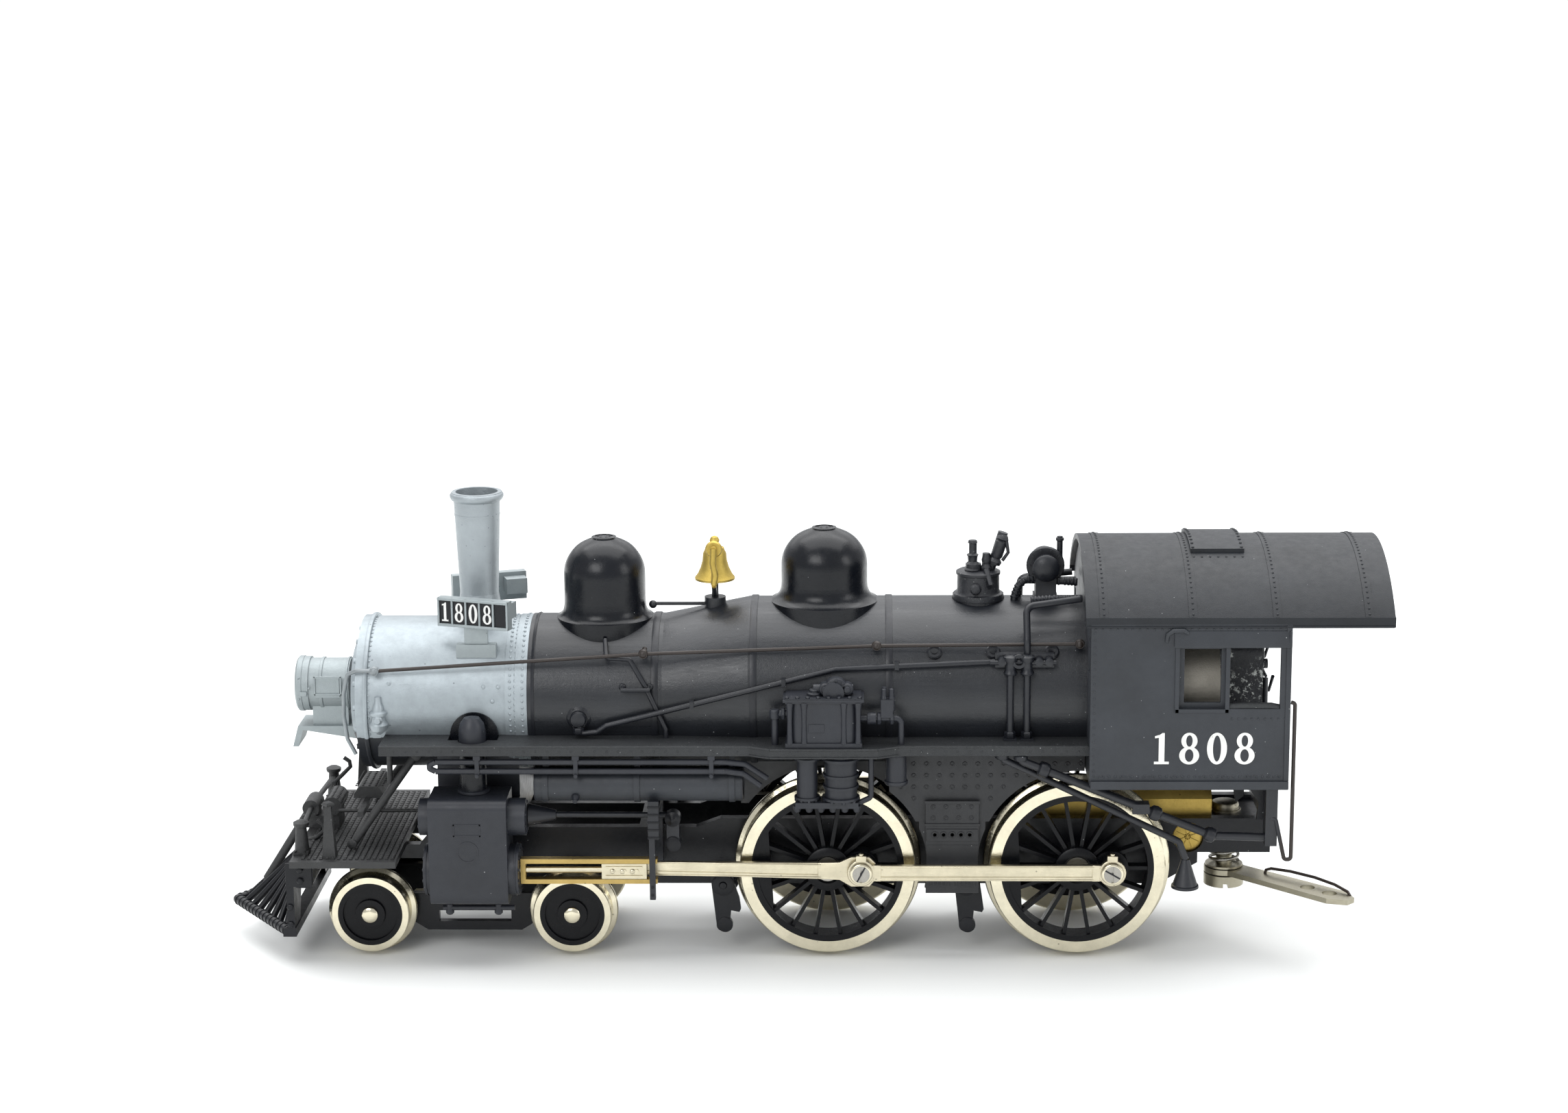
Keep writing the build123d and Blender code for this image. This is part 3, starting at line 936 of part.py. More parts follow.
with BuildPart() as truck_pivot:
    post(TRUCK_X, 0, (5.3, 15.2), 1.0)
    post(TRUCK_X, 0, (4.6, 5.85), 1.9)
    block((TRUCK_X - 0.25, TRUCK_X + 0.25), (-2.5, 2.5), (4.5, 5.0), Mode.SUBTRACT)
write(truck_pivot, "truck_pivot")


def pony_wheels(x):
    """Two disc wheels with raised hubs on one axle."""
    for side in (LEFT, RIGHT):
        cross_bar(x, PONY_Z, (side * WHEEL_BACK, side * 9.7), PONY_DISC_R)
        cross_bar(x, PONY_Z, (side * 9.7, side * WHEEL_FACE), PONY_DISC_R)
        cross_bar(x, PONY_Z, (side * 9.7, side * 10.2), PONY_DISC_R - 0.5, Mode.SUBTRACT)
        cross_bar(x, PONY_Z, (side * 9.7, side * WHEEL_FACE), 1.75)


def pony_tyres(x):
    with BuildSketch(Plane.XY) as section:
        with BuildLine():
            Polyline((PONY_DISC_R, WHEEL_FACE), (PONY_TREAD_R - 0.1, WHEEL_FACE), (PONY_TREAD_R, WHEEL_FACE - 0.12),
                     (PONY_TREAD_R + 0.05, 8.05), (PONY_R - 0.12, 7.8), (PONY_R, 7.65), (PONY_R, 7.5),
                     (PONY_R - 0.22, WHEEL_BACK), (PONY_DISC_R, WHEEL_BACK), (PONY_DISC_R, WHEEL_FACE))
        make_face()
    with BuildPart() as turned:
        revolve(profiles=section.sketch, axis=Axis.Y)
    add(Pos(x, 0, PONY_Z) * turned.part)
    add(Pos(x, 0, PONY_Z) * Rot(0, 0, 180) * turned.part)


for place, axle_x in (("front", TRUCK_X - TRUCK_HALF_BASE), ("rear", TRUCK_X + TRUCK_HALF_BASE)):
    with BuildPart() as pony_axle:
        pony_wheels(axle_x)
        cross_bar(axle_x, PONY_Z, (-WHEEL_FACE - 0.15, WHEEL_FACE + 0.15), PONY_AXLE_R)
    write(pony_axle, f"truck_{place}_axle")
    with BuildPart() as tyres:
        pony_tyres(axle_x)
    write(tyres, f"truck_{place}_tyres")

# ---------------------------------------------------------------- drawbar
drawbar_plane = Plane(origin=(DRAWBAR_X, 0, DRAWBAR_Z[0]),
                      x_dir=(cos(radians(DRAWBAR_REST_DEG)), sin(radians(DRAWBAR_REST_DEG)), 0), z_dir=(0, 0, 1))
with BuildPart() as drawbar:
    with BuildSketch(drawbar_plane):
        Circle(2.45)
        with BuildLine():
            Polyline((0, 1.6), (DRAWBAR_LENGTH - 2.2, 1.9), (DRAWBAR_LENGTH, 0.7), (DRAWBAR_LENGTH, -0.7),
                     (DRAWBAR_LENGTH - 2.2, -1.9), (0, -1.6), (0, 1.6))
        make_face()
        Circle(1.05, mode=Mode.SUBTRACT)
        with Locations((12.6, 0), (15.8, 0)):
            Circle(0.9, mode=Mode.SUBTRACT)
    extrude(amount=DRAWBAR_Z[1] - DRAWBAR_Z[0])
write(drawbar, "drawbar")

with BuildPart() as drawbar_screw:
    post(DRAWBAR_X, 0, (6.3, 7.7), 2.45)
    post(DRAWBAR_X, 0, (7.7, 13.2), 0.98)
    post(DRAWBAR_X, 0, (8.65, 8.9), 2.3)
    block((DRAWBAR_X - 0.3, DRAWBAR_X + 0.3), (-3, 3), (6.2, 6.8), Mode.SUBTRACT)
write(drawbar_screw, "drawbar_screw")

SPRING_R = 1.75
SPRING_WIRE_R = 0.2
with BuildPart() as drawbar_spring:
    with BuildLine() as coil:
        Helix(pitch=0.85, height=2.6, radius=SPRING_R, center=(DRAWBAR_X, 0, 9.15))
    with BuildSketch(Plane(origin=coil.wires()[0] @ 0, z_dir=coil.wires()[0] % 0)) as wire:
        Circle(SPRING_WIRE_R)
    sweep(sections=wire.sketch, path=coil.wires()[0], is_frenet=True)
write(drawbar_spring, "drawbar_spring")
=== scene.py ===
"""Looks for the HO-scale 4-4-0 steam locomotive: materials, rivets, plates, light and camera.

Everything is in metres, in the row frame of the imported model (+X to the cab, +Z up, left side -Y).
The numbers below are millimetres, as on a drawing of a model of this size; MM makes them metres.
"""
import bmesh
import bpy
from math import cos, pi, radians, sin, sqrt
from mathutils import Matrix, Vector


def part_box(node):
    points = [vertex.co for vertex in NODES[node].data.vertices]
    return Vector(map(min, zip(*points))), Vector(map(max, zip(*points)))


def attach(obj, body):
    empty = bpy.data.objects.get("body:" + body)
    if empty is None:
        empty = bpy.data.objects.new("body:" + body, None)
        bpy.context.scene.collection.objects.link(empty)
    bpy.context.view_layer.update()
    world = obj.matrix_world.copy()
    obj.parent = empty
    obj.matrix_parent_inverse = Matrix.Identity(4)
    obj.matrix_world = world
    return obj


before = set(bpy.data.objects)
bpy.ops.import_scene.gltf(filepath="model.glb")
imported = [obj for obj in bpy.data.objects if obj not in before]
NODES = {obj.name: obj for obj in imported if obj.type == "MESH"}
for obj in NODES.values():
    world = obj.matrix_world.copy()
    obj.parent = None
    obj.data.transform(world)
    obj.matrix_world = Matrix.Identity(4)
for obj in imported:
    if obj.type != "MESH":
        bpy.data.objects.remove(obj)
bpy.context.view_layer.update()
MM = 0.001
LEFT, RIGHT = -1, 1
SIDE_NAMES = {LEFT: "left", RIGHT: "right"}
SIDES = ((LEFT, (0, LEFT, 0)), (RIGHT, (0, RIGHT, 0)))
UP, AFT, AHEAD = (0, 0, 1), (1, 0, 0), (-1, 0, 0)


# ---------------------------------------------------------------- material building
class Paint:
    """A material being built: small helpers round one Principled shader."""

    def __init__(self, name):
        self.material = bpy.data.materials.new(name)
        self.material.use_nodes = True
        self.tree = self.material.node_tree
        self.shader = self.tree.nodes["Principled BSDF"]
        self.place = self.tree.nodes.new("ShaderNodeTexCoord").outputs["Object"]

    def node(self, kind, **inputs):
        """A new node; each input is a number, a colour or the output of another node."""
        made = self.tree.nodes.new("ShaderNode" + kind)
        for key, value in inputs.items():
            self.feed(made.inputs[key.replace("_", " ")], value)
        return made

    def feed(self, socket, value):
        if isinstance(value, bpy.types.NodeSocket):
            self.tree.links.new(value, socket)
        else:
            socket.default_value = value

    def noise(self, scale, detail=3.0, rough=0.6, place=None):
        return self.node("TexNoise", Scale=scale, Detail=detail, Roughness=rough,
                         Vector=place or self.place).outputs["Fac"]

    def stretched(self, x, y, z):
        return self.node("Mapping", Vector=self.place, Scale=(x, y, z)).outputs["Vector"]

    def ramp(self, value, low, high, out_low=0.0, out_high=1.0):
        return self.node("MapRange", Value=value, From_Min=low, From_Max=high, To_Min=out_low,
                         To_Max=out_high).outputs["Result"]

    def math(self, operation, a, b):
        made = self.node("Math")
        made.operation = operation
        self.feed(made.inputs[0], a)
        self.feed(made.inputs[1], b)
        return made.outputs[0]

    def mix(self, factor, a, b):
        made = self.node("Mix")
        made.data_type = "RGBA"
        self.feed(made.inputs["Factor"], factor)
        self.feed(made.inputs[6], a)
        self.feed(made.inputs[7], b)
        return made.outputs[2]

    def specks(self, scale, size, share, seed=0.0):
        """Scattered round flecks: a mask that is 1 inside a fleck."""
        shifted = self.node("Mapping", Vector=self.place, Location=(seed, seed * 0.7, seed * 0.3))
        cells = self.node("TexVoronoi", Scale=scale, Vector=shifted.outputs["Vector"])
        near = self.ramp(cells.outputs["Distance"], size, size * 0.6)
        channel = self.node("SeparateColor", Color=cells.outputs["Color"]).outputs[0]
        return self.math("MULTIPLY", near, self.math("GREATER_THAN", channel, 1.0 - share))

    def beyond(self, axis, limit, ragged):
        """A mask that is 1 over the limit, in millimetres along the axis, with a hand-painted edge."""
        split = self.node("SeparateXYZ", Vector=self.place)
        wander = self.ramp(self.noise(700, 3, 0.6), 0.3, 0.7, -ragged * MM, ragged * MM)
        edge = self.math("ADD", split.outputs[axis], wander)
        return self.ramp(edge, (limit - 0.03) * MM, (limit + 0.03) * MM)

    def bump(self, height, distance, strength=1.0, after=None):
        made = self.node("Bump", Height=height, Distance=distance, Strength=strength)
        if after is not None:
            self.feed(made.inputs["Normal"], after)
        self.feed(self.shader.inputs["Normal"], made.outputs["Normal"])
        return made.outputs["Normal"]

    def set(self, **values):
        for key, value in values.items():
            self.feed(self.shader.inputs[key.replace("_", " ")], value)


def rgb(r, g, b):
    return (r, g, b, 1.0)


def enamel(p, base, dust, seed=0.0):
    """Colour of satin enamel: dull patches and pale dust specks."""
    patches = p.ramp(p.noise(140, 4, 0.6), 0.3, 0.75)
    dull = p.mix(patches, rgb(*base), rgb(*(c * 1.6 + 0.0008 for c in base)))
    fine = p.specks(2600, 0.13, 0.06 * dust, seed)
    coarse = p.specks(950, 0.075, 0.03 * dust, 3.1 + seed)
    return p.mix(p.math("MAXIMUM", fine, coarse), dull, rgb(0.36, 0.37, 0.37))


def metal_tone(p, base, stain=0.07):
    """Colour of plated or bare metal: cloudy, with small dull spots."""
    tone = p.mix(p.ramp(p.noise(420, 4, 0.7), 0.3, 0.75), rgb(*(c * 0.78 for c in base)), rgb(*base))
    return p.mix(p.specks(1400, 0.18, stain), tone, rgb(*(c * 0.45 for c in base)))


def black_paint(name, base=(0.0065, 0.0075, 0.0105), rough=0.36, dust=0.25, grain=1.0, heavy=0.0, shine=0.45):
    """Satin blue-black enamel with fine grain, dull patches and pale dust specks."""
    p = Paint(name)
    p.set(Base_Color=enamel(p, base, dust))
    p.set(Roughness=p.ramp(p.noise(900, 3, 0.7), 0.25, 0.8, rough - 0.06, rough + 0.12))
    p.set(Specular_IOR_Level=shine)
    first = p.bump(p.noise(9000, 2, 0.6), 0.000012 * grain)
    p.bump(p.noise(1600 + 1400 * heavy, 4, 0.7), 0.00002 + 0.00012 * heavy, 0.9, first)
    return p.material


def silver_paint(name, base, rough=0.42, flake=1.0):
    """Aluminium paint: half metallic, fine flakes, faint tarnish in patches."""
    p = Paint(name)
    patches = p.ramp(p.noise(170, 5, 0.65), 0.3, 0.72)
    tone = p.mix(patches, rgb(*(c * 0.84 for c in base)), rgb(*base))
    pores = p.specks(2200, 0.2, 0.05 * flake)
    p.set(Base_Color=p.mix(pores, tone, rgb(*(c * 0.55 for c in base))))
    p.set(Metallic=0.45)
    p.set(Roughness=p.ramp(p.noise(2500, 2, 0.6), 0.2, 0.8, rough - 0.08, rough + 0.1))
    first = p.bump(p.noise(8000, 2, 0.6), 0.000014 * flake)
    p.bump(p.noise(1300, 4, 0.7), 0.00003 * flake, 0.9, first)
    return p.material


def plated(name, base, rough=0.2, scratch=1.0, along=(1, 1, 1)):
    """Bright plated or bare metal with hairline scratches and small dull spots."""
    p = Paint(name)
    lines = p.noise(5000, 2, 0.6, p.stretched(*along))
    p.set(Base_Color=metal_tone(p, base))
    p.set(Metallic=1.0)
    p.set(Roughness=p.ramp(lines, 0.2, 0.8, rough - 0.06, rough + 0.16))
    p.bump(lines, 0.000006 * scratch, 0.8)
    return p.material


def two_coats(name, axis, limit, high, high_metal, base=(0.0085, 0.0098, 0.0125), rough=(0.38, 0.42),
              dust=0.25, low_metal=0.0, brushed=False):
    """Enamel below a height or length limit, in millimetres, and another coat or bare metal beyond it."""
    p = Paint(name)
    beyond = p.beyond(axis, limit, 0.12)
    low = enamel(p, base, dust)
    p.set(Base_Color=p.mix(beyond, low, metal_tone(p, high, 0.05)))
    p.set(Metallic=p.ramp(beyond, 0, 1, low_metal, high_metal))
    grain = p.noise(4000, 2, 0.6, p.stretched(0.05, 1, 1)) if brushed else p.noise(2200, 3, 0.65)
    p.set(Roughness=p.math("ADD", p.ramp(beyond, 0, 1, *rough), p.ramp(grain, 0.2, 0.8, -0.07, 0.1)))
    first = p.bump(p.noise(9000, 2, 0.6), 0.000013)
    p.bump(p.noise(1500, 4, 0.7), 0.000028, 0.9, first)
    return p.material


def flecked(name, share):
    """Black gloss paint run over rough castings, with bright bare flecks."""
    p = Paint(name)
    grit = p.ramp(p.noise(1900, 5, 0.75), 1.0 - share, 1.06 - share)
    flecks = p.math("MULTIPLY", grit, p.ramp(p.noise(260), 0.4, 0.55))
    p.set(Base_Color=p.mix(flecks, enamel(p, (0.009, 0.010, 0.013), 1.0), rgb(0.5, 0.52, 0.5)))
    p.set(Metallic=p.ramp(flecks, 0, 1, 0.0, 0.7))
    p.set(Roughness=p.ramp(p.noise(1500), 0.3, 0.7, 0.25, 0.5))
    p.bump(p.noise(2600, 4, 0.75), 0.00009)
    return p.material


SILVER_TONE, BROWN_TONE = (0.365, 0.41, 0.435), (0.022, 0.015, 0.012)
BLACK = black_paint("black_enamel")
BLACK_FRAME = black_paint("black_frame_enamel", (0.0028, 0.0032, 0.0048), 0.32, dust=0.12, shine=0.3)
BLACK_GLOSS = black_paint("black_dome_enamel", (0.0025, 0.0032, 0.005), 0.22, dust=0.1, grain=0.6, shine=0.3)
BLACK_ROUGH = black_paint("black_gritty_enamel", (0.015, 0.0165, 0.018), rough=0.48, dust=1.2, heavy=1.0)
WHEEL_BLACK = black_paint("wheel_enamel", (0.0016, 0.0018, 0.0026), rough=0.3, dust=0.1, shine=0.2)
DECK_BLACK = black_paint("deck_enamel", (0.019, 0.0195, 0.02), rough=0.48, dust=0.6, heavy=0.6)
CAB_BLACK = black_paint("cab_enamel", (0.0165, 0.019, 0.0235), rough=0.47, dust=0.6)
CYL_BLACK = black_paint("cylinder_enamel", (0.0105, 0.012, 0.0165), rough=0.42, dust=0.35)
SHEET_BLACK = black_paint("sheet_enamel", (0.0135, 0.014, 0.0155), rough=0.46, dust=0.4)
ROOF_BLACK = black_paint("roof_enamel", (0.0075, 0.009, 0.0115), rough=0.42, dust=0.25, shine=0.34)
PLANT_BLACK = flecked("turret_enamel", 0.36)
BACKHEAD_BLACK = flecked("backhead_enamel", 0.45)
SILVER = silver_paint("silver_enamel", SILVER_TONE)
SMOKEBOX_COAT = two_coats("smokebox_enamel", "Z", 27.4, SILVER_TONE, 0.45, rough=(0.4, 0.4))
CHIMNEY_COAT = silver_paint("chimney_enamel", (0.33, 0.365, 0.385), rough=0.38, flake=2.0)
GREY = silver_paint("grey_enamel", (0.33, 0.37, 0.38), rough=0.48, flake=1.6)
NICKEL = plated("nickel_plate", (0.78, 0.72, 0.55), rough=0.14)
ROD_NICKEL = plated("rod_nickel", (0.67, 0.61, 0.455), rough=0.27, along=(0.06, 1, 1), scratch=2.0)
BAR_NICKEL = plated("drawbar_nickel", (0.42, 0.39, 0.30), rough=0.34, scratch=2.0)
BRASS = plated("raw_brass", (0.50, 0.36, 0.13), rough=0.34, scratch=1.6)
MOTOR_BRASS = plated("motor_brass", (0.52, 0.37, 0.10), rough=0.4, scratch=3.0)
GOLD = plated("bell_gold", (0.58, 0.43, 0.11), rough=0.5, scratch=5.0)
STEEL = plated("bare_steel", (0.40, 0.385, 0.35), rough=0.28)
WHITE = silver_paint("white_lettering", (0.80, 0.80, 0.78), rough=0.55, flake=0.4)
BOILER_COAT = two_coats("boiler_enamel", "X", 36.2, (0.30, 0.28, 0.24), 0.85, rough=(0.31, 0.4), dust=0.6,
                        brushed=True)
RAIL_COAT = two_coats("rail_enamel", "X", -49.6, BROWN_TONE, 0.1, base=(0.20, 0.22, 0.23), rough=(0.42, 0.4),
                      dust=0.1, low_metal=0.4)
BELL_STAND_COAT = two_coats("bell_stand_enamel", "Z", 44.6, (0.62, 0.43, 0.09), 0.9, rough=(0.36, 0.48))
CAB_PIPE_COAT = two_coats("cab_pipe_enamel", "X", 57.9, BROWN_TONE, 0.1, base=(0.0085, 0.0095, 0.0125))
WIRE = black_paint("wire_enamel", BROWN_TONE, rough=0.42, dust=0.1)


def lens_glass():
    p = Paint("headlight_glass")
    p.set(Base_Color=p.mix(p.ramp(p.noise(600), 0.3, 0.7), rgb(0.62, 0.66, 0.68), rgb(0.8, 0.83, 0.85)))
    p.set(Roughness=p.ramp(p.noise(900), 0.3, 0.7, 0.05, 0.12))
    p.set(Transmission_Weight=0.6, IOR=1.5)
    p.bump(p.noise(700), 0.00003)
    return p.material


LENS = lens_glass()

SURFACES = {
    SMOKEBOX_COAT: ("smokebox", "smokebox_front"),
    CHIMNEY_COAT: ("chimney",),
    GREY: ("headlight", "number_boards", "headlight_bracket"),
    NICKEL: ("front_tyres", "rear_tyres", "truck_front_tyres", "truck_rear_tyres"),
    BAR_NICKEL: ("drawbar", "drawbar_screw"),
    ROD_NICKEL: ("side_rod_left", "side_rod_right", "main_rod_left", "main_rod_right", "crosshead_left",
                 "crosshead_right"),
    BRASS: ("guide_bars",),
    MOTOR_BRASS: ("gearbox", "motor"),
    GOLD: ("bell",),
    BELL_STAND_COAT: ("bell_stand",),
    STEEL: ("drawbar_spring", "worm_shaft", "front_driver_axle", "rear_driver_axle"),
    RAIL_COAT: ("handrails",),
    LENS: ("headlight_lens",),
    BLACK_GLOSS: ("sand_dome", "steam_dome", "steam_pipes"),
    BLACK_ROUGH: ("running_boards",),
    DECK_BLACK: ("pilot_deck", "pilot_fittings"),
    PLANT_BLACK: ("turret",),
    BACKHEAD_BLACK: ("backhead",),
    BOILER_COAT: ("boiler_shell",),
    CAB_BLACK: ("cab_body", "window_frames", "air_tanks"),
    CAB_PIPE_COAT: ("cab_pipes",),
    CYL_BLACK: ("cylinders", "air_pump", "cooling_pipes"),
    SHEET_BLACK: ("firebox_sides",),
    ROOF_BLACK: ("cab_roof", "roof_hatch"),
    BLACK_FRAME: ("main_frame", "truck_frame", "pilot", "brake_gear", "truck_pivot"),
    WHEEL_BLACK: ("truck_front_axle", "truck_rear_axle", "front_wheel_centres", "rear_wheel_centres"),
}

painted = {name: material for material, names in SURFACES.items() for name in names}
for name, obj in NODES.items():
    obj.data.materials.clear()
    obj.data.materials.append(painted.get(name, BLACK))


# ---------------------------------------------------------------- mesh building
def add(name, data):
    """A new object in the scene, showing this data."""
    obj = bpy.data.objects.new(name, data)
    bpy.context.collection.objects.link(obj)
    return obj


def vec(point):
    return Vector(point) * MM


class Piece:
    """A mesh under construction, in millimetres of the row frame."""

    def __init__(self, name):
        self.name = name
        self.mesh = bmesh.new()

    def place(self, made, origin, direction):
        """Moves vertices made round the Z axis to the origin, and turns that axis to the direction."""
        turn = Vector(direction).to_track_quat("Z", "Y").to_matrix().to_4x4()
        bmesh.ops.transform(self.mesh, matrix=Matrix.Translation(vec(origin)) @ turn, verts=made)

    def skin(self, rows, closed=False):
        """Quads from each row of vertices to the next, every row going round."""
        for low, high in zip(rows, rows[1:] + (rows[:1] if closed else [])):
            for i in range(len(low)):
                j = (i + 1) % len(low)
                self.mesh.faces.new((low[i], low[j], high[j], high[i]))

    def cap(self, rows):
        """Faces over the first and the last row."""
        self.mesh.faces.new(list(reversed(rows[0])))
        self.mesh.faces.new(rows[-1])

    def turned(self, profile, origin, direction=UP, steps=32):
        """A body of revolution: profile is (radius, height) pairs along the direction."""
        turns = [2 * pi * i / steps for i in range(steps)]
        rings = [[self.mesh.verts.new((radius * cos(a) * MM, radius * sin(a) * MM, height * MM))
                  for a in turns] for radius, height in profile]
        self.skin(rings)
        if profile[0] != profile[-1]:
            self.cap(rings)
        self.place([v for ring in rings for v in ring], origin, direction)

    def hoop(self, profile, *placing):
        """A turned ring, whose profile is the outline of its section."""
        self.turned(profile + profile[:1], *placing)

    def stud(self, radius, height, origin, direction=UP, steps=6):
        """A plain pin or bolt head."""
        self.turned([(radius, 0), (radius, height)], origin, direction, steps)

    def nut(self, radius, height, tip, top, origin, direction=UP, steps=6):
        """A nut or boss of this height, that narrows to its tip at the top."""
        self.turned([(radius, 0), (radius, height), (tip, top)], origin, direction, steps)

    def rod(self, start, end, radius, steps=12):
        """A straight round bar between two points."""
        run = Vector(end) - Vector(start)
        self.turned([(radius, 0), (radius, run.length)], start, run, steps)

    def rivet(self, origin, direction, radius=0.17, height=0.12):
        """A low domed rivet head standing on a surface."""
        self.turned([(radius, -0.03), (radius, height * 0.35), (radius * 0.72, height * 0.8),
                     (radius * 0.2, height)], origin, direction, 8)

    def box(self, x, y, z):
        """A block between two values of x, two of y and two of z."""
        made = bmesh.ops.create_cube(self.mesh, size=1.0)["verts"]
        size = Vector((abs(x[1] - x[0]), abs(y[1] - y[0]), abs(z[1] - z[0]))) * MM
        centre = Vector((x[0] + x[1], y[0] + y[1], z[0] + z[1])) * MM / 2
        spot = Matrix.Translation(centre) @ Matrix.Diagonal((*size, 1))
        bmesh.ops.transform(self.mesh, matrix=spot, verts=made)

    def tube(self, points, radius, steps=10):
        """A round wire or pipe along points, its ends closed."""
        points = [Vector(p) for p in points]
        runs = [(b - a).normalized() for a, b in zip(points[:-1], points[1:])]
        side = runs[0].orthogonal().normalized()
        rings = []
        for i, point in enumerate(points):
            along = (runs[max(i - 1, 0)] + runs[min(i, len(runs) - 1)]).normalized()
            side = (side - along * side.dot(along)).normalized()
            other = along.cross(side)
            rings.append([self.mesh.verts.new((point + (side * cos(a) + other * sin(a)) * radius) * MM)
                          for a in (2 * pi * k / steps for k in range(steps))])
        self.skin(rings)
        self.cap(rings)

    def ribbed(self, points, radius, pitch):
        """A corrugated hose along points."""
        self.tube(points, radius * 0.86)
        for a, b in zip(points[:-1], points[1:]):
            run = Vector(b) - Vector(a)
            for i in range(max(int(run.length / pitch), 1)):
                at = Vector(a) + run.normalized() * (i + 0.5) * pitch
                self.turned([(radius * 0.8, -pitch * 0.4), (radius, -pitch * 0.2), (radius, pitch * 0.2),
                             (radius * 0.8, pitch * 0.4)], at, run, 12)

    def slab(self, outline, place, thick):
        """A flat plate: an outline of (u, v) pairs, set by place(u, v, w) and thick in w."""
        low = [self.mesh.verts.new(vec(place(u, v, 0.0))) for u, v in outline]
        high = [self.mesh.verts.new(vec(place(u, v, thick))) for u, v in outline]
        self.cap([low, high])
        self.skin([low, high])

    def bar(self, u, v, place, thick):
        """A rectangular slab between two values of u and two of v."""
        self.slab([(u[0], v[0]), (u[1], v[0]), (u[1], v[1]), (u[0], v[1])], place, thick)

    def ring(self, centre, outer, inner, place, thick, steps=40):
        """A flat ring between two ellipses, each (half width, half height)."""
        turns = [2 * pi * i / steps for i in range(steps)]
        section = ((0.0, outer), (thick, outer), (thick, inner), (0.0, inner))
        self.skin([[self.mesh.verts.new(vec(place(centre[0] + a * cos(t), centre[1] + b * sin(t), w)))
                    for t in turns] for w, (a, b) in section], closed=True)

    def done(self, material, body="locomotive", bevel=0.0, smooth=True):
        """Ends the piece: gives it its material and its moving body."""
        bmesh.ops.recalc_face_normals(self.mesh, faces=self.mesh.faces)
        data = bpy.data.meshes.new(self.name)
        self.mesh.to_mesh(data)
        self.mesh.free()
        obj = add(self.name, data)
        data.materials.append(material)
        if bevel:
            edge = obj.modifiers.new("edges", "BEVEL")
            edge.width = bevel * MM
            edge.segments = 2
            edge.limit_method = "ANGLE"
        if smooth:
            for face in data.polygons:
                face.use_smooth = True
            data.set_sharp_from_angle(angle=radians(38))
        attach(obj, body)


def around(count, radius, phase=0.0):
    """count points round a circle, as pairs of offsets from its middle."""
    turns = [2 * pi * (i + phase) / count for i in range(count)]
    return [(radius * cos(a), radius * sin(a)) for a in turns]


def spread(start, end, count):
    """count even values from start to end."""
    return [start + (end - start) * i / (count - 1) for i in range(count)]


# ---------------------------------------------------------------- boiler bands and rivets
def corners(node):
    """The low and the high corner of a CAD node, in millimetres."""
    return [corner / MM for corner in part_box(node)]


def middle_x(node):
    low, high = corners(node)
    return (low.x + high.x) / 2


SMOKEBOX_LOW, SMOKEBOX_HIGH = corners("smokebox")
SMOKEBOX_R = (SMOKEBOX_HIGH.z - SMOKEBOX_LOW.z) / 2
FRONT_AXIS_Z = (SMOKEBOX_HIGH.z + SMOKEBOX_LOW.z) / 2
FRONT_R = 9.55
REAR_AXIS_Z, REAR_R = 32.1, 10.6
CONE = (-15.7, -5.3)
# driving axles, and the screw that the drawbar swings on
FRONT_AXLE_X, REAR_AXLE_X, AXLE_Z, WHEELBASE = 4.14, 34.29, 11.31, 30.15
SCREW_X = 53.1


def boiler_at(x):
    """(axis height, radius) of the boiler's outer form at x."""
    if x < SMOKEBOX_HIGH.x:
        return FRONT_AXIS_Z, SMOKEBOX_R
    t = min(max((x - CONE[0]) / (CONE[1] - CONE[0]), 0.0), 1.0)
    return FRONT_AXIS_Z + (REAR_AXIS_Z - FRONT_AXIS_Z) * t, FRONT_R + (REAR_R - FRONT_R) * t


bands = Piece("boiler_bands")
for x in (-31.5, -16.6, -4.7, 11.6):
    half = 0.42
    z = boiler_at(x)[0]
    r0, r1 = boiler_at(x - half)[1], boiler_at(x + half)[1]
    bands.hoop([(r0 - 0.15, -half), (r0 + 0.1, -half), (r0 + 0.14, -half * 0.8), (r1 + 0.14, half * 0.8),
                (r1 + 0.1, half), (r1 - 0.15, half)], (x, 0, z), AFT, 96)
bands.done(BLACK)

strap = Piece("smokebox_strap")
for x0, x1, lift in ((-34.6, -33.4, 0.10), (-33.4, -31.95, 0.2)):
    strap.hoop([(SMOKEBOX_R - 0.1, 0), (SMOKEBOX_R + lift, 0), (SMOKEBOX_R + lift, x1 - x0),
                (SMOKEBOX_R - 0.1, x1 - x0)], (x0, 0, FRONT_AXIS_Z), AFT, 96)
for x, lift in ((-34.0, 0.1), (-32.5, 0.2)):
    for i in range(64):
        a = radians(-60 + i * 300 / 63)
        out = Vector((0, cos(a), sin(a)))
        strap.rivet(Vector((x, 0, FRONT_AXIS_Z)) + out * (SMOKEBOX_R + lift), out, 0.17, 0.13)
strap.done(SILVER)

# ---------------------------------------------------------------- cab rivets and roof strips
cab_low, cab_high = corners("cab_body")
roof_high = corners("cab_roof")[1]
WALL_Y = cab_high.y
ROOF_HALF = roof_high.y
EAVE = 43.4
ROOF_RADIUS = (ROOF_HALF**2 + (roof_high.z - EAVE)**2) / (2 * (roof_high.z - EAVE))
ROOF_AXIS_Z = roof_high.z - ROOF_RADIUS

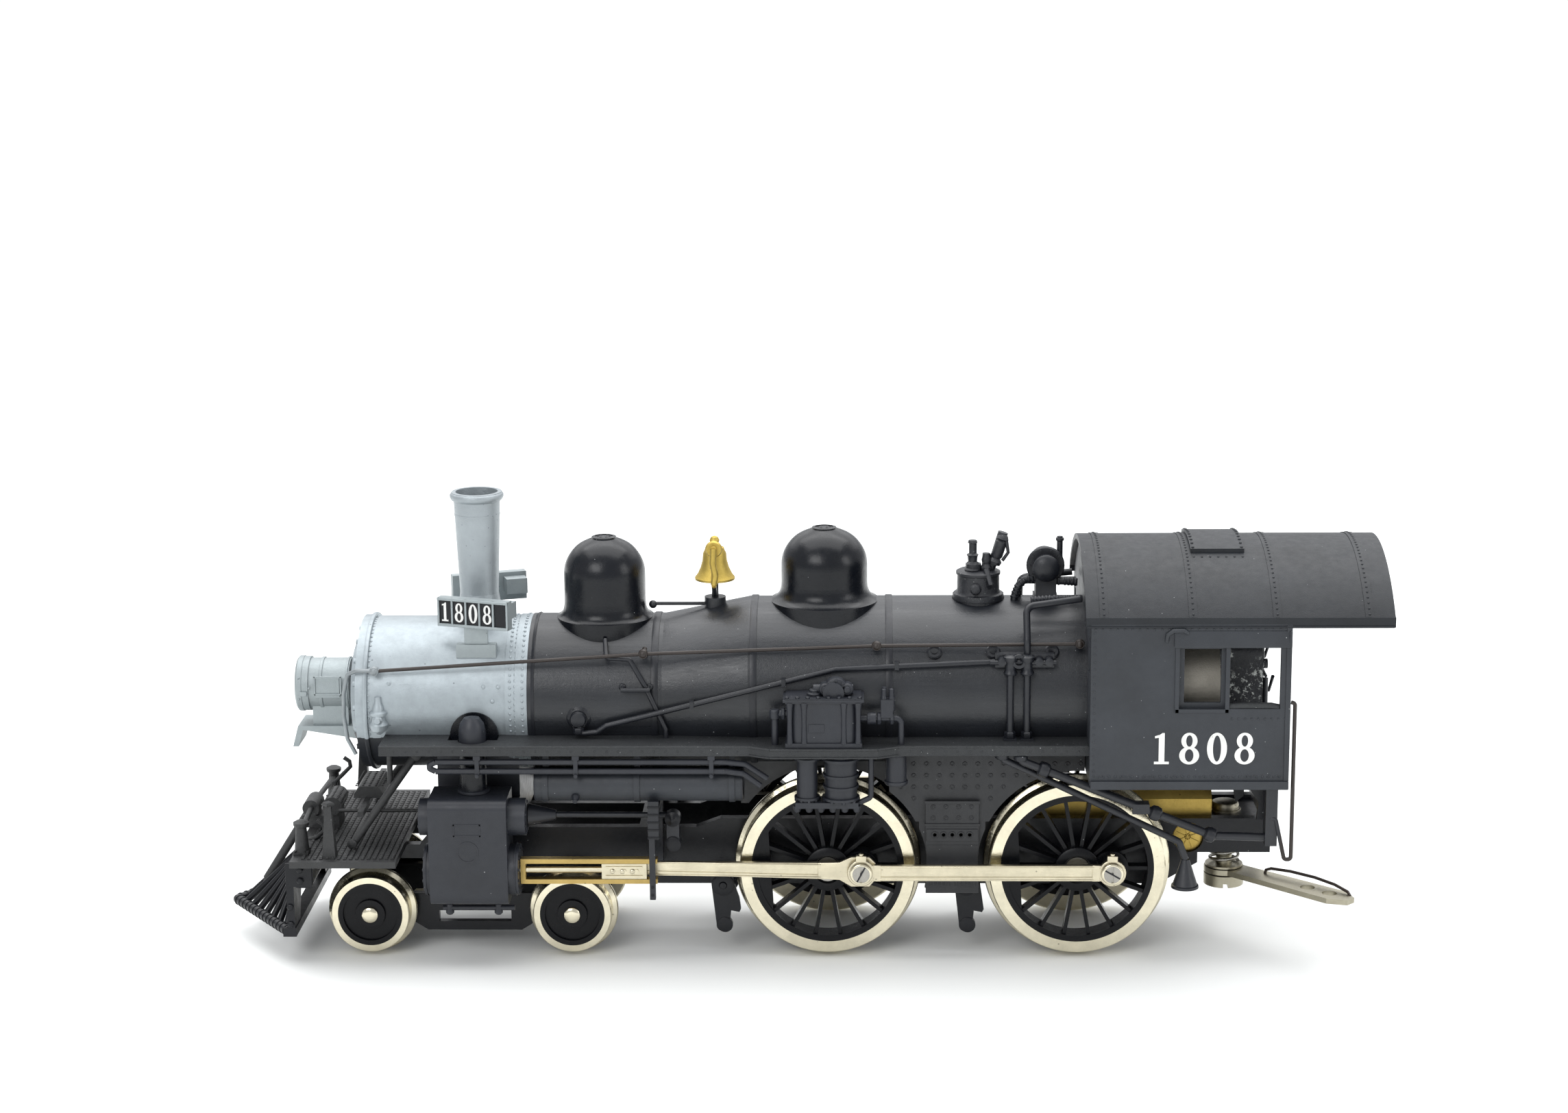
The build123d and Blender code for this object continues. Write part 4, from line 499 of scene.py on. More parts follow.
cab_rivets = Piece("cab_rivets")
for side, outward in SIDES:
    out = outward
    for x in spread(cab_low.x + 0.5, cab_high.x - 0.5, 27):
        for z in (24.6, 42.4):
            cab_rivets.rivet((x, side * WALL_Y, z), out, 0.14, 0.09)
    for z in spread(25.2, 42.0, 20):
        cab_rivets.rivet((cab_low.x + 0.45, side * WALL_Y, z), out, 0.14, 0.09)
cab_rivets.done(CAB_BLACK)

roof_strips = Piece("roof_strips")
ARC, ARC_STEPS = 46, 48  # half angle of a strip, in degrees, and its segments
for x in (36.7, 47.1, 56.9, 67.6):
    low, high = [], []
    for i in range(ARC_STEPS + 1):
        a = radians(90 - ARC + 2 * ARC * i / ARC_STEPS)
        for dx, ring in ((-0.5, low), (0.5, high)):
            ring.append(roof_strips.mesh.verts.new(
                vec((x + dx, (ROOF_RADIUS + 0.07) * cos(a), ROOF_AXIS_Z + (ROOF_RADIUS + 0.07) * sin(a)))))
    for i in range(ARC_STEPS):
        roof_strips.mesh.faces.new((low[i], low[i + 1], high[i + 1], high[i]))
    for i in range(42):
        a = radians(90 - ARC + 1 + 2 * (ARC - 1) * i / 41)
        out = Vector((0, cos(a), sin(a)))
        roof_strips.rivet(Vector((x, 0, ROOF_AXIS_Z)) + out * (ROOF_RADIUS + 0.06), out, 0.15, 0.1)
roof_strips.done(ROOF_BLACK)

# ---------------------------------------------------------------- running numbers
RUNNING_NUMBER = "1808"


def numeral(piece, digit, place, height, thick):
    """One slab-serif digit, its middle at the origin of place(u, v, w)."""
    k = height / 5.0

    def at(u, v, w):
        return place(u * k, v * k, w)

    if digit == "1":
        piece.slab([(-0.45, -2.5), (0.45, -2.5), (0.45, 2.5), (0.1, 2.5), (-0.45, 2.1)], at, thick)
        piece.bar((-1.15, 1.15), (-2.51, -2.1), at, thick * 1.2)
        piece.slab([(-1.05, 1.65), (-0.4, 1.75), (-0.4, 2.2), (-1.05, 2.0)], at, thick * 1.2)
    elif digit == "0":
        piece.ring((0, 0), (1.55, 2.55), (0.62, 2.1), at, thick)
    else:
        piece.ring((0, 1.22), (1.25, 1.33), (0.5, 0.92), at, thick)
        piece.ring((0, -1.12), (1.55, 1.43), (0.66, 1.02), at, thick * 1.2)


def on_wall(side, x, z):
    """A place function for figures on the cab side, centred on x and z."""
    return lambda u, v, w: (x - side * u, side * (WALL_Y + 0.02 + w), z + v)


for side, label in SIDE_NAMES.items():
    figures = Piece(f"cab_number_{label}")
    for i, digit in enumerate(RUNNING_NUMBER):
        numeral(figures, digit, on_wall(side, 48.5 - side * (i - 1.5) * 3.25, 28.0), 3.8, 0.05)
    figures.done(WHITE, smooth=False)

# ---------------------------------------------------------------- number boards
BOARD_TURN = 18.6
BOARD_WIDTH, BOARD_HEIGHT, PANES = 9.3, 3.5, 5
for side, label in SIDE_NAMES.items():
    turn = Matrix.Rotation(radians(side * BOARD_TURN), 3, "Z")
    middle = Vector((-38.15, side * 7.1, 42.55))

    def on_board(u, v, w, side=side, turn=turn, middle=middle):
        """A point on the board: along it as its reader sees it, up, and out from its face."""
        return middle + turn @ Vector((-side * u, side * (0.5 + w), v))

    half_w, half_h = BOARD_WIDTH / 2, BOARD_HEIGHT / 2
    panes = Piece(f"number_panes_{label}")
    panes.bar((-half_w + 0.2, half_w - 0.2), (-half_h + 0.2, half_h - 0.2), on_board, 0.05)
    panes.done(BLACK_GLOSS, smooth=False)
    rim = Piece(f"number_frame_{label}")
    for v in (-half_h, half_h - 0.34):
        rim.bar((-half_w, half_w), (v, v + 0.34), on_board, 0.32)
    for i in range(PANES + 1):
        u = -half_w + i * (BOARD_WIDTH - 0.24) / PANES
        rim.bar((u, u + 0.24), (-half_h, half_h), on_board, 0.28)
    rim.done(GREY, bevel=0.06)
    digits = Piece(f"number_digits_{label}")
    for i, digit in enumerate(RUNNING_NUMBER):
        u = (i - 1.5) * BOARD_WIDTH / PANES - 0.9
        numeral(digits, digit, lambda a, b, w, u=u: on_board(u + a * 0.8, b, w + 0.06), 2.3, 0.03)
    digits.done(WHITE, smooth=False)

# ---------------------------------------------------------------- smokebox details
BLOWER_X = -49.9
smoke = Piece("smokebox_details")
for side, outward in SIDES:
    for i in range(26):
        a = radians(-20 + i * 4.4)
        out = Vector((0, side * cos(a), sin(a)))
        smoke.rivet(Vector((SMOKEBOX_LOW.x + 0.5, 0, FRONT_AXIS_Z)) + out * SMOKEBOX_R, out, 0.15, 0.1)
        smoke.rivet(Vector((-32.5, 0, FRONT_AXIS_Z)) + out * SMOKEBOX_R, out, 0.23, 0.2)
        half = radians(-17.8 + i * 4.4)
        out = Vector((0, side * cos(half), sin(half)))
        smoke.rivet(Vector((-33.35, 0, FRONT_AXIS_Z)) + out * SMOKEBOX_R, out, 0.23, 0.2)
    for x, z in ((-37.2, 33.8), (-35.4, 33.8), (-36.1, 32.1), (-48.6, 34.2)):
        out = Vector((0, side * sqrt(SMOKEBOX_R**2 - (z - FRONT_AXIS_Z)**2), z - FRONT_AXIS_Z))
        smoke.rivet(Vector((x, 0, FRONT_AXIS_Z)) + out, out, 0.26, 0.16)
    # blower valve standing on the smokebox side
    smoke.turned([(0.05, 28.5), (0.95, 28.6), (1.15, 29.3), (0.85, 29.8), (0.8, 30.4), (1.05, 30.5),
                  (1.05, 30.8), (0.7, 31.0), (0.62, 31.6), (0.42, 32.0), (0.36, 32.7), (0.05, 32.75)],
                 (BLOWER_X, side * 9.35, 0), UP, 20)
    smoke.turned([(0.62, 0), (0.62, 0.75), (0.42, 0.95), (0.36, 1.1)],
                 (BLOWER_X, side * 9.5, 30.0), outward, 16)
    smoke.nut(0.7, 0.5, 0.5, 0.75, (BLOWER_X, side * 9.4, 28.9), (0.7, side, -0.3), 16)
    # casting at the foot of the chimney
    smoke.turned([(0.05, 0), (1.0, 0), (1.0, 1.6), (1.3, 1.9), (1.3, 2.3), (0.8, 2.6), (0.9, 3.1), (0.5, 3.6),
                  (0.1, 3.7)], (-38.6, side * 3.5, 39.4), UP, 18)
smoke.done(SILVER)

front = Piece("smokebox_front_hoop")
front.hoop([(9.25, 0), (9.62, 0.06), (9.7, 0.3), (9.62, 0.54), (9.25, 0.6)],
           (SMOKEBOX_LOW.x - 0.2, 0, FRONT_AXIS_Z), AFT, 96)
face_x = corners("smokebox_front")[0].x
for y, z in around(40, 8.95):
    front.turned([(0.3, -0.3), (0.3, 0.35), (0.2, 0.45)],
                 (SMOKEBOX_LOW.x - 0.2, y, FRONT_AXIS_Z + z), AHEAD, 6)
for z in (-3.0, 3.0):
    front.box((face_x - 0.25, face_x + 0.5), (2.0, 8.0), (FRONT_AXIS_Z + z - 0.35, FRONT_AXIS_Z + z + 0.35))
    front.rod((face_x + 0.4, 8.1, FRONT_AXIS_Z + z - 0.8), (face_x + 0.4, 8.1, FRONT_AXIS_Z + z + 0.8), 0.42)
front.done(SMOKEBOX_COAT, bevel=0.03)

lip = Piece("chimney_lip")
chimney_x = middle_x("chimney")
lip.hoop([(2.5, 55.0), (2.85, 54.95), (3.1, 55.1), (3.27, 55.4), (3.27, 55.7), (3.1, 55.95), (2.85, 56.04),
          (2.55, 56.0)], (chimney_x, 0, 0), UP, 64)
lip.hoop([(2.6, 53.1), (2.78, 53.15), (2.78, 53.4), (2.6, 53.45)], (chimney_x, 0, 0), UP, 64)
lip.done(CHIMNEY_COAT)

# ---------------------------------------------------------------- headlight details
LAMP_Z, LAMP_R = 32.0, 3.15
lamp = Piece("headlight_details")
# sections of the three rings round the can, as distances from its side
RIM = [(-0.55, -0.6), (0.02, -0.72), (0.28, -0.5), (0.28, 0.1), (0.02, 0.2), (-0.55, 0.0)]
for x, profile in ((-60.4, RIM), (-58.2, [(-0.1, 0), (0.12, 0.05), (0.12, 0.4), (-0.1, 0.45)]),
                   (-54.95, [(-0.1, 0), (0.14, 0.05), (0.14, 0.3), (-0.1, 0.35)])):
    lamp.hoop([(LAMP_R + r, h) for r, h in profile], (x, 0, LAMP_Z), AFT, 64)
for side in (LEFT, RIGHT):
    y = side * (LAMP_R + 0.15)
    out = y + side * 0.16
    for z in (31.3, 33.5):
        lamp.box((-58.7, -55.3), (y, out), (z, z + 0.2))
    for x in (-58.7, -55.5):
        lamp.box((x, x + 0.2), (y, out), (31.3, 33.7))
    for x, z in ((-60.6, 33.4), (-60.6, 30.8), (-59.3, 32.2)):
        lamp.rivet((x, side * sqrt(max((LAMP_R + 0.28)**2 - (z - LAMP_Z)**2, 0.1)), z),
                   (0, side, (z - LAMP_Z) / 3), 0.16, 0.12)
    lamp.box((-60.5, -59.6), (y - side * 0.1, y + side * 0.25), (31.2, 31.75))
lamp.done(GREY, bevel=0.05)

LENS_X = -60.3
reflector = Piece("headlight_reflector")
reflector.hoop([(0.25, 1.25), (1.1, 1.1), (1.9, 0.75), (2.45, 0.3), (2.6, 0.0), (2.62, 0.0), (2.62, 1.3),
                (0.25, 1.35)], (LENS_X, 0, LAMP_Z), AFT, 48)
reflector.turned([(0.02, 0.5), (0.25, 0.55), (0.35, 0.8), (0.3, 1.3)], (LENS_X, 0, LAMP_Z), AFT, 20)
reflector.done(STEEL)

# ---------------------------------------------------------------- domes, bell and boiler fittings
tops = Piece("dome_details")
for x, top in ((-23.05, 50.45), (3.78, 51.55)):
    tops.turned([(0.05, -0.2), (1.5, -0.15), (1.5, 0.05), (1.1, 0.14), (1.1, 0.02), (0.05, 0.0)],
                (x, 0, top - 0.1), UP, 32)
    for dx, y in around(6, 0.7):
        tops.rivet((x + dx, y, top - 0.08), UP, 0.17, 0.14)
tops.done(BLACK_GLOSS)

yoke = Piece("bell_yoke")
bell_x = middle_x("bell")
yoke.turned([(0.1, 44.9), (2.0, 45.0), (2.42, 45.05), (2.45, 45.3), (2.1, 45.75), (1.75, 46.5), (1.5, 47.4),
             (1.42, 48.3), (1.15, 48.85), (0.62, 49.1), (0.5, 49.6), (0.62, 49.9), (0.42, 50.3),
             (0.1, 50.45)], (bell_x, 0, 0), UP, 40)
yoke.turned([(0.9, -0.35), (1.05, 0.0), (0.9, 0.35)], (bell_x, -2.0, 49.2), (0, 1, 0), 16)
yoke.rod((bell_x, -2.9, 49.35), (bell_x, 2.9, 49.35), 0.36)
yoke.tube([(bell_x, -2.9, 45.0), (bell_x + 0.2, -3.05, 46.2), (bell_x - 0.1, -2.95, 47.6),
           (bell_x, -2.75, 49.4)], 0.4)
yoke.done(GOLD)

knobs = Piece("handrail_knobs")
for side, outward in SIDES:
    for x, y, z in ((-50.2, 9.3, 35.9), (-17.8, 9.35, 38.0), (10.1, 9.5, 39.0), (34.3, 9.5, 39.2)):
        knobs.turned([(0.1, -0.62), (0.36, -0.5), (0.56, -0.22), (0.6, 0.0), (0.56, 0.22), (0.36, 0.5),
                      (0.1, 0.62)], (x, side * y, z), outward, 20)
        knobs.turned([(0.3, -1.1), (0.34, -0.6), (0.28, 0.0)], (x, side * y, z), outward, 12)
knobs.done(RAIL_COAT)

FEED_X = -25.7
fittings = Piece("boiler_fittings")
for side, outward in SIDES:
    # washout plugs along the rear course
    for x in (17.0, 24.0, 31.0):
        y = sqrt(REAR_R**2 - (38.0 - REAR_AXIS_Z)**2)
        fittings.hoop([(0.9, -0.3), (0.9, 0.35), (0.72, 0.5), (0.42, 0.5), (0.36, 0.2), (0.36, -0.3)],
                      (x, side * y, 38.0), (0, side, 0.6), 20)
    # feed check valve: flange, body and union nut
    fittings.turned([(1.45, -0.25), (1.5, 0.1), (1.25, 0.3), (0.9, 0.45), (0.85, 0.8), (1.0, 1.0),
                     (0.85, 1.35), (0.3, 1.5)], (FEED_X, side * 9.4, 30.15), outward, 28)
    for dx, dz in around(6, 1.2):
        fittings.stud(0.16, 0.2, (FEED_X + dx, side * 9.55, 30.15 + dz), outward)
    fittings.turned([(0.62, -0.5), (0.7, -0.3), (0.7, 0.1), (0.55, 0.25)],
                    (FEED_X, side * 10.25, 28.9), UP, 6)
    # clips that hold the feed pipe and the sand pipe
    for x, y, z in ((-12.0, 10.75, 32.1), (-1.0, 10.85, 34.85), (12.5, 10.4, 36.75)):
        fittings.box((x - 0.25, x + 0.25), (side * (y - 0.9), side * (y + 0.42)), (z - 0.42, z + 0.42))
    # injector cluster: valve bodies, nuts and hand wheels
    for x in (26.0, 28.0):
        fittings.turned([(0.75, -1.2), (0.85, -1.0), (0.62, -0.6), (0.62, 0.3), (0.85, 0.6), (0.85, 1.0),
                         (0.5, 1.2)], (x, side * 10.9, 37.0), UP, 12)
        fittings.turned([(0.62, 0), (0.7, 0.15), (0.7, 0.7), (0.55, 0.85)], (x, side * 10.9, 28.0), UP, 6)
        fittings.box((x - 0.8, x + 0.8), (side * 10.2, side * 11.7), (27.75, 28.05))
    for x in (25.0, 29.4, 30.6):
        fittings.turned([(0.55, 0), (0.6, 0.2), (0.45, 0.55), (0.5, 0.75), (0.2, 0.85)],
                        (x, side * 10.6, 37.4), outward, 14)
    fittings.turned([(0.85, 0), (0.9, 0.12), (0.85, 0.24), (0.5, 0.24), (0.5, 0.0), (0.85, 0.0)],
                    (27.0, side * 11.2, 37.5), outward, 24)
    fittings.rod((23.6, side * 10.8, 37.25), (31.4, side * 10.8, 37.25), 0.3)
    # mounts of the step on the boiler side
    for x in (-20.4, -17.1):
        fittings.nut(0.42, 0.2, 0.26, 0.35, (x, side * 9.25, 33.95), (0, side, -0.1), 12)
fittings.done(BLACK)

plant = Piece("turret_fittings")
TURRET_X = 22.5
plant.turned([(3.15, 42.6), (3.2, 42.75), (3.05, 43.3), (2.7, 43.4), (2.58, 43.6), (2.55, 45.6), (2.7, 45.7),
              (2.7, 46.0), (2.4, 46.15), (0.1, 46.2)], (TURRET_X, 0, 0), UP, 40)
for dx, y in around(12, 2.9):
    plant.nut(0.2, 0.22, 0.1, 0.26, (TURRET_X + dx, y, 43.1), UP, 6)
plant.turned([(0.9, 46.0), (1.0, 46.3), (0.75, 46.6), (0.85, 47.0), (0.55, 47.3), (0.62, 47.9), (0.75, 48.1),
              (0.45, 48.3), (0.45, 49.5), (0.6, 49.6), (0.5, 49.9), (0.1, 49.95)],
             (TURRET_X - 0.7, -0.4, 0), UP, 16)
plant.turned([(0.6, 46.0), (0.7, 46.6), (0.45, 47.0), (0.6, 47.5), (0.35, 48.3), (0.1, 48.4)],
             (TURRET_X + 0.95, -0.5, 0), UP, 14)
plant.turned([(0.75, 0), (0.85, 0.4), (0.55, 0.8), (0.72, 1.1), (0.72, 2.9), (0.55, 3.1), (0.8, 3.3),
              (0.6, 3.7), (0.3, 4.0), (0.1, 4.05)], (TURRET_X + 1.9, -0.2, 46.9), (0.32, 0, 1), 16)
plant.tube([(TURRET_X + 2.9, -0.6, 47.4), (TURRET_X + 3.6, -0.6, 48.4), (TURRET_X + 3.4, -0.5, 49.8)], 0.22)
plant.tube([(TURRET_X + 1.2, -2.0, 44.4), (TURRET_X + 1.4, -2.8, 45.0), (TURRET_X + 0.9, -1.8, 46.6)], 0.34)
plant.turned([(0.6, 0), (0.7, 0.3), (0.5, 0.7), (0.2, 0.8)], (TURRET_X - 0.4, -2.5, 44.3), (0, -1, 0), 12)
plant.done(PLANT_BLACK)

dynamo = Piece("generator_details")
GENERATOR_X, GENERATOR_Z = 30.63, 46.8
dynamo.hoop([(2.2, -0.5), (2.32, -0.35), (2.32, 0.05), (2.2, 0.2), (1.9, 0.2), (1.9, -0.5)],
            (GENERATOR_X, -0.35, GENERATOR_Z), (0, 1, 0), 40)
dynamo.turned([(1.5, 0), (1.62, 0.15), (1.62, 0.6), (1.3, 0.9), (0.5, 1.1), (0.1, 1.1)],
              (GENERATOR_X, -2.0, GENERATOR_Z), (0, -1, 0), 32)
dynamo.turned([(1.7, 0), (1.75, 0.3), (1.4, 0.7), (0.6, 0.8), (0.1, 0.8)],
              (GENERATOR_X, 2.3, GENERATOR_Z), (0, 1, 0), 32)
for dx, dz in around(10, 1.95):
    dynamo.stud(0.16, 0.2, (GENERATOR_X + dx, -0.9, GENERATOR_Z + dz), (0, -1, 0))
dynamo.ribbed([(29.2, -0.6, 45.2), (28.2, -0.7, 45.1), (27.4, -0.8, 44.4), (26.9, -0.9, 43.2),
               (26.8, -1.0, 42.5)], 0.52, 0.42)
dynamo.ribbed([(31.6, -0.8, 44.9), (32.8, -0.9, 44.9), (34.5, -1.0, 44.8)], 0.52, 0.42)
dynamo.ribbed([(28.6, -5.6, 43.6), (31.2, -5.6, 43.8), (34.8, -5.6, 43.8)], 0.5, 0.42)
dynamo.turned([(0.5, 0), (0.36, 0.5), (0.36, 2.6), (0.5, 2.7), (0.5, 3.0), (0.2, 3.1)],
              (32.4, 0.4, 47.0), UP, 14)
dynamo.box((29.2, 32.1), (-1.8, 1.8), (42.6, 43.1))
dynamo.done(BLACK, bevel=0.02)

# ---------------------------------------------------------------- running board edge and its fittings
edge = Piece("board_edging")
for side, outward in SIDES:
    for x0, x1, y0, y1 in ((-49.3, -5.2, 13.9, 13.9), (-5.2, -2.6, 13.9, 15.2), (-2.6, 10.2, 15.2, 15.2),
                           (10.2, 12.8, 15.2, 13.9), (12.8, 35.0, 13.9, 13.9)):
        edge.tube([(x0, side * (y0 + 0.02), 27.72), (x1, side * (y1 + 0.02), 27.72)], 0.13, 8)
        edge.tube([(x0, side * (y0 + 0.02), 26.72), (x1, side * (y1 + 0.02), 26.72)], 0.12, 8)
    for x in spread(-47.5, -6.5, 30) + spread(14.0, 34.0, 15):
        edge.rivet((x, side * 13.98, 27.2), outward, 0.13, 0.09)
edge.done(BLACK_ROUGH)

clips = Piece("cooling_pipe_details")
for side, outward in SIDES:
    for x in (-37.6, -25.8, -9.6):
        clips.box((x - 0.42, x + 0.42), (side * 13.25, side * 13.95), (26.1, 26.6))
        for z in (25.75, 24.6):
            clips.turned([(0.46, -0.3), (0.46, 0.3)], (x, side * 13.4, z), AFT, 16)
        clips.nut(0.26, 0.2, 0.12, 0.24, (x, side * 13.9, 24.15), outward, 6)
    for x in (-30.9, -6.0):
        clips.hoop([(1.95, -0.12), (2.16, -0.05), (2.16, 0.05), (1.95, 0.12)],
                   (x, side * 10.8, 22.35), AFT, 40)
    clips.turned([(0.5, 0), (0.5, 0.3), (0.3, 0.6), (0.3, 0.9)],
                 (-26.0, side * 12.6, 21.2), (0, side, -0.5), 12)
clips.done(CYL_BLACK)

# ---------------------------------------------------------------- firebox side rivets, cylinders, air pump
STAY_HEAD = [(0.3, -0.02), (0.3, 0.05), (0.2, 0.1), (0.12, 0.02), (0.05, 0.02)]
WHEEL_CLEARANCE = 12.7
sheet = Piece("firebox_rivets")
for side, outward in SIDES:
    for x in spread(13.0, 34.6, 15):
        for z in spread(19.9, 25.7, 5):
            clear = all(sqrt((x - axle_x)**2 + (z - AXLE_Z)**2) > WHEEL_CLEARANCE
                        for axle_x in (FRONT_AXLE_X, REAR_AXLE_X))
            if clear and not (16.0 < x < 22.6 and z < 20.4):
                sheet.turned(STAY_HEAD, (x, side * 9.1, z), outward, 10)
    for x in spread(16.9, 21.5, 4):
        for z in (19.0, 17.6):
            sheet.turned(STAY_HEAD, (x, side * 9.6, z), outward, 10)
    for x, y, z in (((15.85, 22.55), 9.75, (16.6, 16.9)), ((15.85, 22.55), 9.75, (19.4, 19.75)),
                    ((16.1, 22.3), 9.72, (14.7, 16.2)), ((16.1, 22.3), 9.66, (11.6, 14.2))):
        sheet.box(x, (side * 9.5, side * y), z)
    for x in spread(17.1, 21.3, 5):
        sheet.turned([(0.44, 0), (0.44, 0.1), (0.28, 0.14), (0.24, 0.02), (0.05, 0.02)],
                     (x, side * 9.7, 15.5), outward, 16)
    for x in (16.5, 19.6):
        sheet.box((x, x + 2.4), (side * 9.5, side * 9.72), (9.0, 11.0))
        for i in range(4):
            sheet.box((x + 0.3 + 0.5 * i, x + 0.55 + 0.5 * i), (side * 9.7, side * 9.85), (9.2, 10.8))
sheet.done(SHEET_BLACK, bevel=0.03)

CYLINDER_Y, CYLINDER_Z = 12.15, 12.0
STEAM_PIPE_X, STEAM_PIPE_Y = -38.4, 11.1
jacket = Piece("cylinder_details")
cylinder_face = corners("cylinders")[1].y
for side, outward in SIDES:
    face = side * cylinder_face
    for z in (17.05, 18.4):
        jacket.box((-40.5, -37.2), (face - side * 0.1, face + side * 0.05), (z, z + 0.18))
    for x in (-40.5, -37.38):
        jacket.box((x, x + 0.18), (face - side * 0.1, face + side * 0.05), (17.05, 18.58))
    jacket.hoop([(1.15, -0.15), (1.15, 0.05), (1.33, 0.05), (1.33, -0.15)], (-38.8, face, 15.1), outward, 40)
    # cover nuts of the cylinder and of the valve chest over it, at the front and at the back
    for count, radius, y, z, ends in ((12, 2.65, CYLINDER_Y, CYLINDER_Z, (-44.28, -32.92)),
                                      (8, 1.85, 12.2, 18.6, (-44.78, -32.02))):
        for x, direction in zip(ends, (AHEAD, AFT)):
            for dy, dz in around(count, radius, 0.5):
                jacket.turned([(0.2, -0.05), (0.2, 0.14), (0.1, 0.16)],
                              (x, side * y + dy, z + dz), direction, 6)
    for x in (-44.0, -33.3):
        jacket.hoop([(3.0, -0.12), (3.22, -0.06), (3.22, 0.06), (3.0, 0.12)],
                    (x, side * CYLINDER_Y, CYLINDER_Z), AFT, 64)
    # the steam pipe's elbow and its flange against the smokebox
    jacket.hoop([(1.6, -0.2), (1.95, -0.12), (1.95, 0.2), (1.6, 0.28)],
                (STEAM_PIPE_X, side * STEAM_PIPE_Y, 21.6), UP, 40)
    jacket.turned([(1.62, 27.6), (1.62, 29.0), (1.45, 29.9), (0.95, 30.6), (0.1, 30.8)],
                  (STEAM_PIPE_X, side * STEAM_PIPE_Y, 0), UP, 40)
    for x in (-41.5, -35.6):
        jacket.turned([(0.3, 6.5), (0.5, 6.7), (0.5, 7.0), (0.4, 7.2), (0.4, 7.8), (0.6, 8.0), (0.6, 8.3)],
                      (x, side * 12.9, 0), UP, 12)
jacket.done(CYL_BLACK)

PUMP_Y = -13.1
pump = Piece("air_pump_details")
for x, r in ((1.8, 1.25), (5.8, 1.95)):
    for dx, dy in around(9, r + 0.1):
        pump.nut(0.26, 0.3, 0.1, 0.34, (x + dx, PUMP_Y + dy, 21.0), UP, 6)
    pump.hoop([(r + 0.3, 0), (r + 0.3, 0.3), (r - 0.1, 0.45), (r - 0.1, 0)], (x, PUMP_Y, 26.0), UP, 32)
    pump.hoop([(r - 0.1, -0.45), (r + 0.3, -0.3), (r + 0.3, 0), (r - 0.1, 0)], (x, PUMP_Y, 21.5), UP, 32)
for x in spread(0.6, 7.7, 6):
    pump.turned([(0.05, 0.0), (0.34, 0.12), (0.5, 0.5), (0.5, 0.9), (0.05, 0.9)], (x, -13.6, 19.5), UP, 12)
# flared steam chest: top flange with nuts, foot, corner columns and a blank plate
pump.box((-1.0, 8.6), (-15.0, -10.8), (33.45, 33.75))
pump.box((-0.75, 8.35), (-14.85, -11.0), (27.8, 28.4))
for x in (-0.2, 1.5, 6.2, 7.9):
    pump.turned([(0.42, 28.3), (0.34, 29.0), (0.3, 31.0), (0.36, 32.6), (0.5, 33.4)], (x, -14.55, 0), UP, 12)
for x in spread(-0.5, 8.1, 8):
    pump.nut(0.26, 0.28, 0.12, 0.34, (x, -14.6, 33.8), UP, 6)
pump.box((2.0, 3.9), (-14.68, -14.5), (29.7, 30.7))
pump.turned([(0.9, 0), (0.9, 0.4), (0.6, 0.5), (0.6, 0.8), (0.3, 0.9)], (2.7, PUMP_Y, 33.8), UP, 16)
for x, r in ((4.0, 0.75), (5.3, 1.35), (6.6, 0.75)):
    pump.turned([(r, 0), (r, 1.2), (r * 0.8, 1.35), (r * 0.55, 1.35), (r * 0.5, 1.6), (0.1, 1.65)],
                (x, -12.4, 34.7), (0, -1, 0), 24)
for dx, dz in around(8, 1.1):
    pump.stud(0.15, 0.2, (5.3 + dx, -13.7, 34.7 + dz), (0, -1, 0))
for x, z in ((9.2, 31.0), (10.4, 31.0), (-1.0, 31.6), (11.9, 31.0)):
    pump.turned([(0.62, -0.25), (0.75, -0.15), (0.75, 0.15), (0.62, 0.25)], (x, -12.9, z), AFT, 6)
for x in (10.95, 11.85):
    pump.turned([(0.34, 31.9), (0.4, 32.0), (0.4, 33.6), (0.3, 33.8), (0.3, 34.6), (0.1, 34.7)],
                (x, -13.0, 0), UP, 12)
pump.turned([(0.6, 0), (0.66, 0.2), (0.66, 0.9), (0.5, 1.1)], (-2.0, -12.9, 31.0), UP, 12)
pump.turned([(1.25, 22.7), (1.4, 22.9), (1.4, 23.2), (1.25, 23.3), (1.25, 26.3), (1.4, 26.4), (1.4, 26.6)],
            (12.4, -12.4, 0), UP, 28)
pump.done(CYL_BLACK, bevel=0.03)

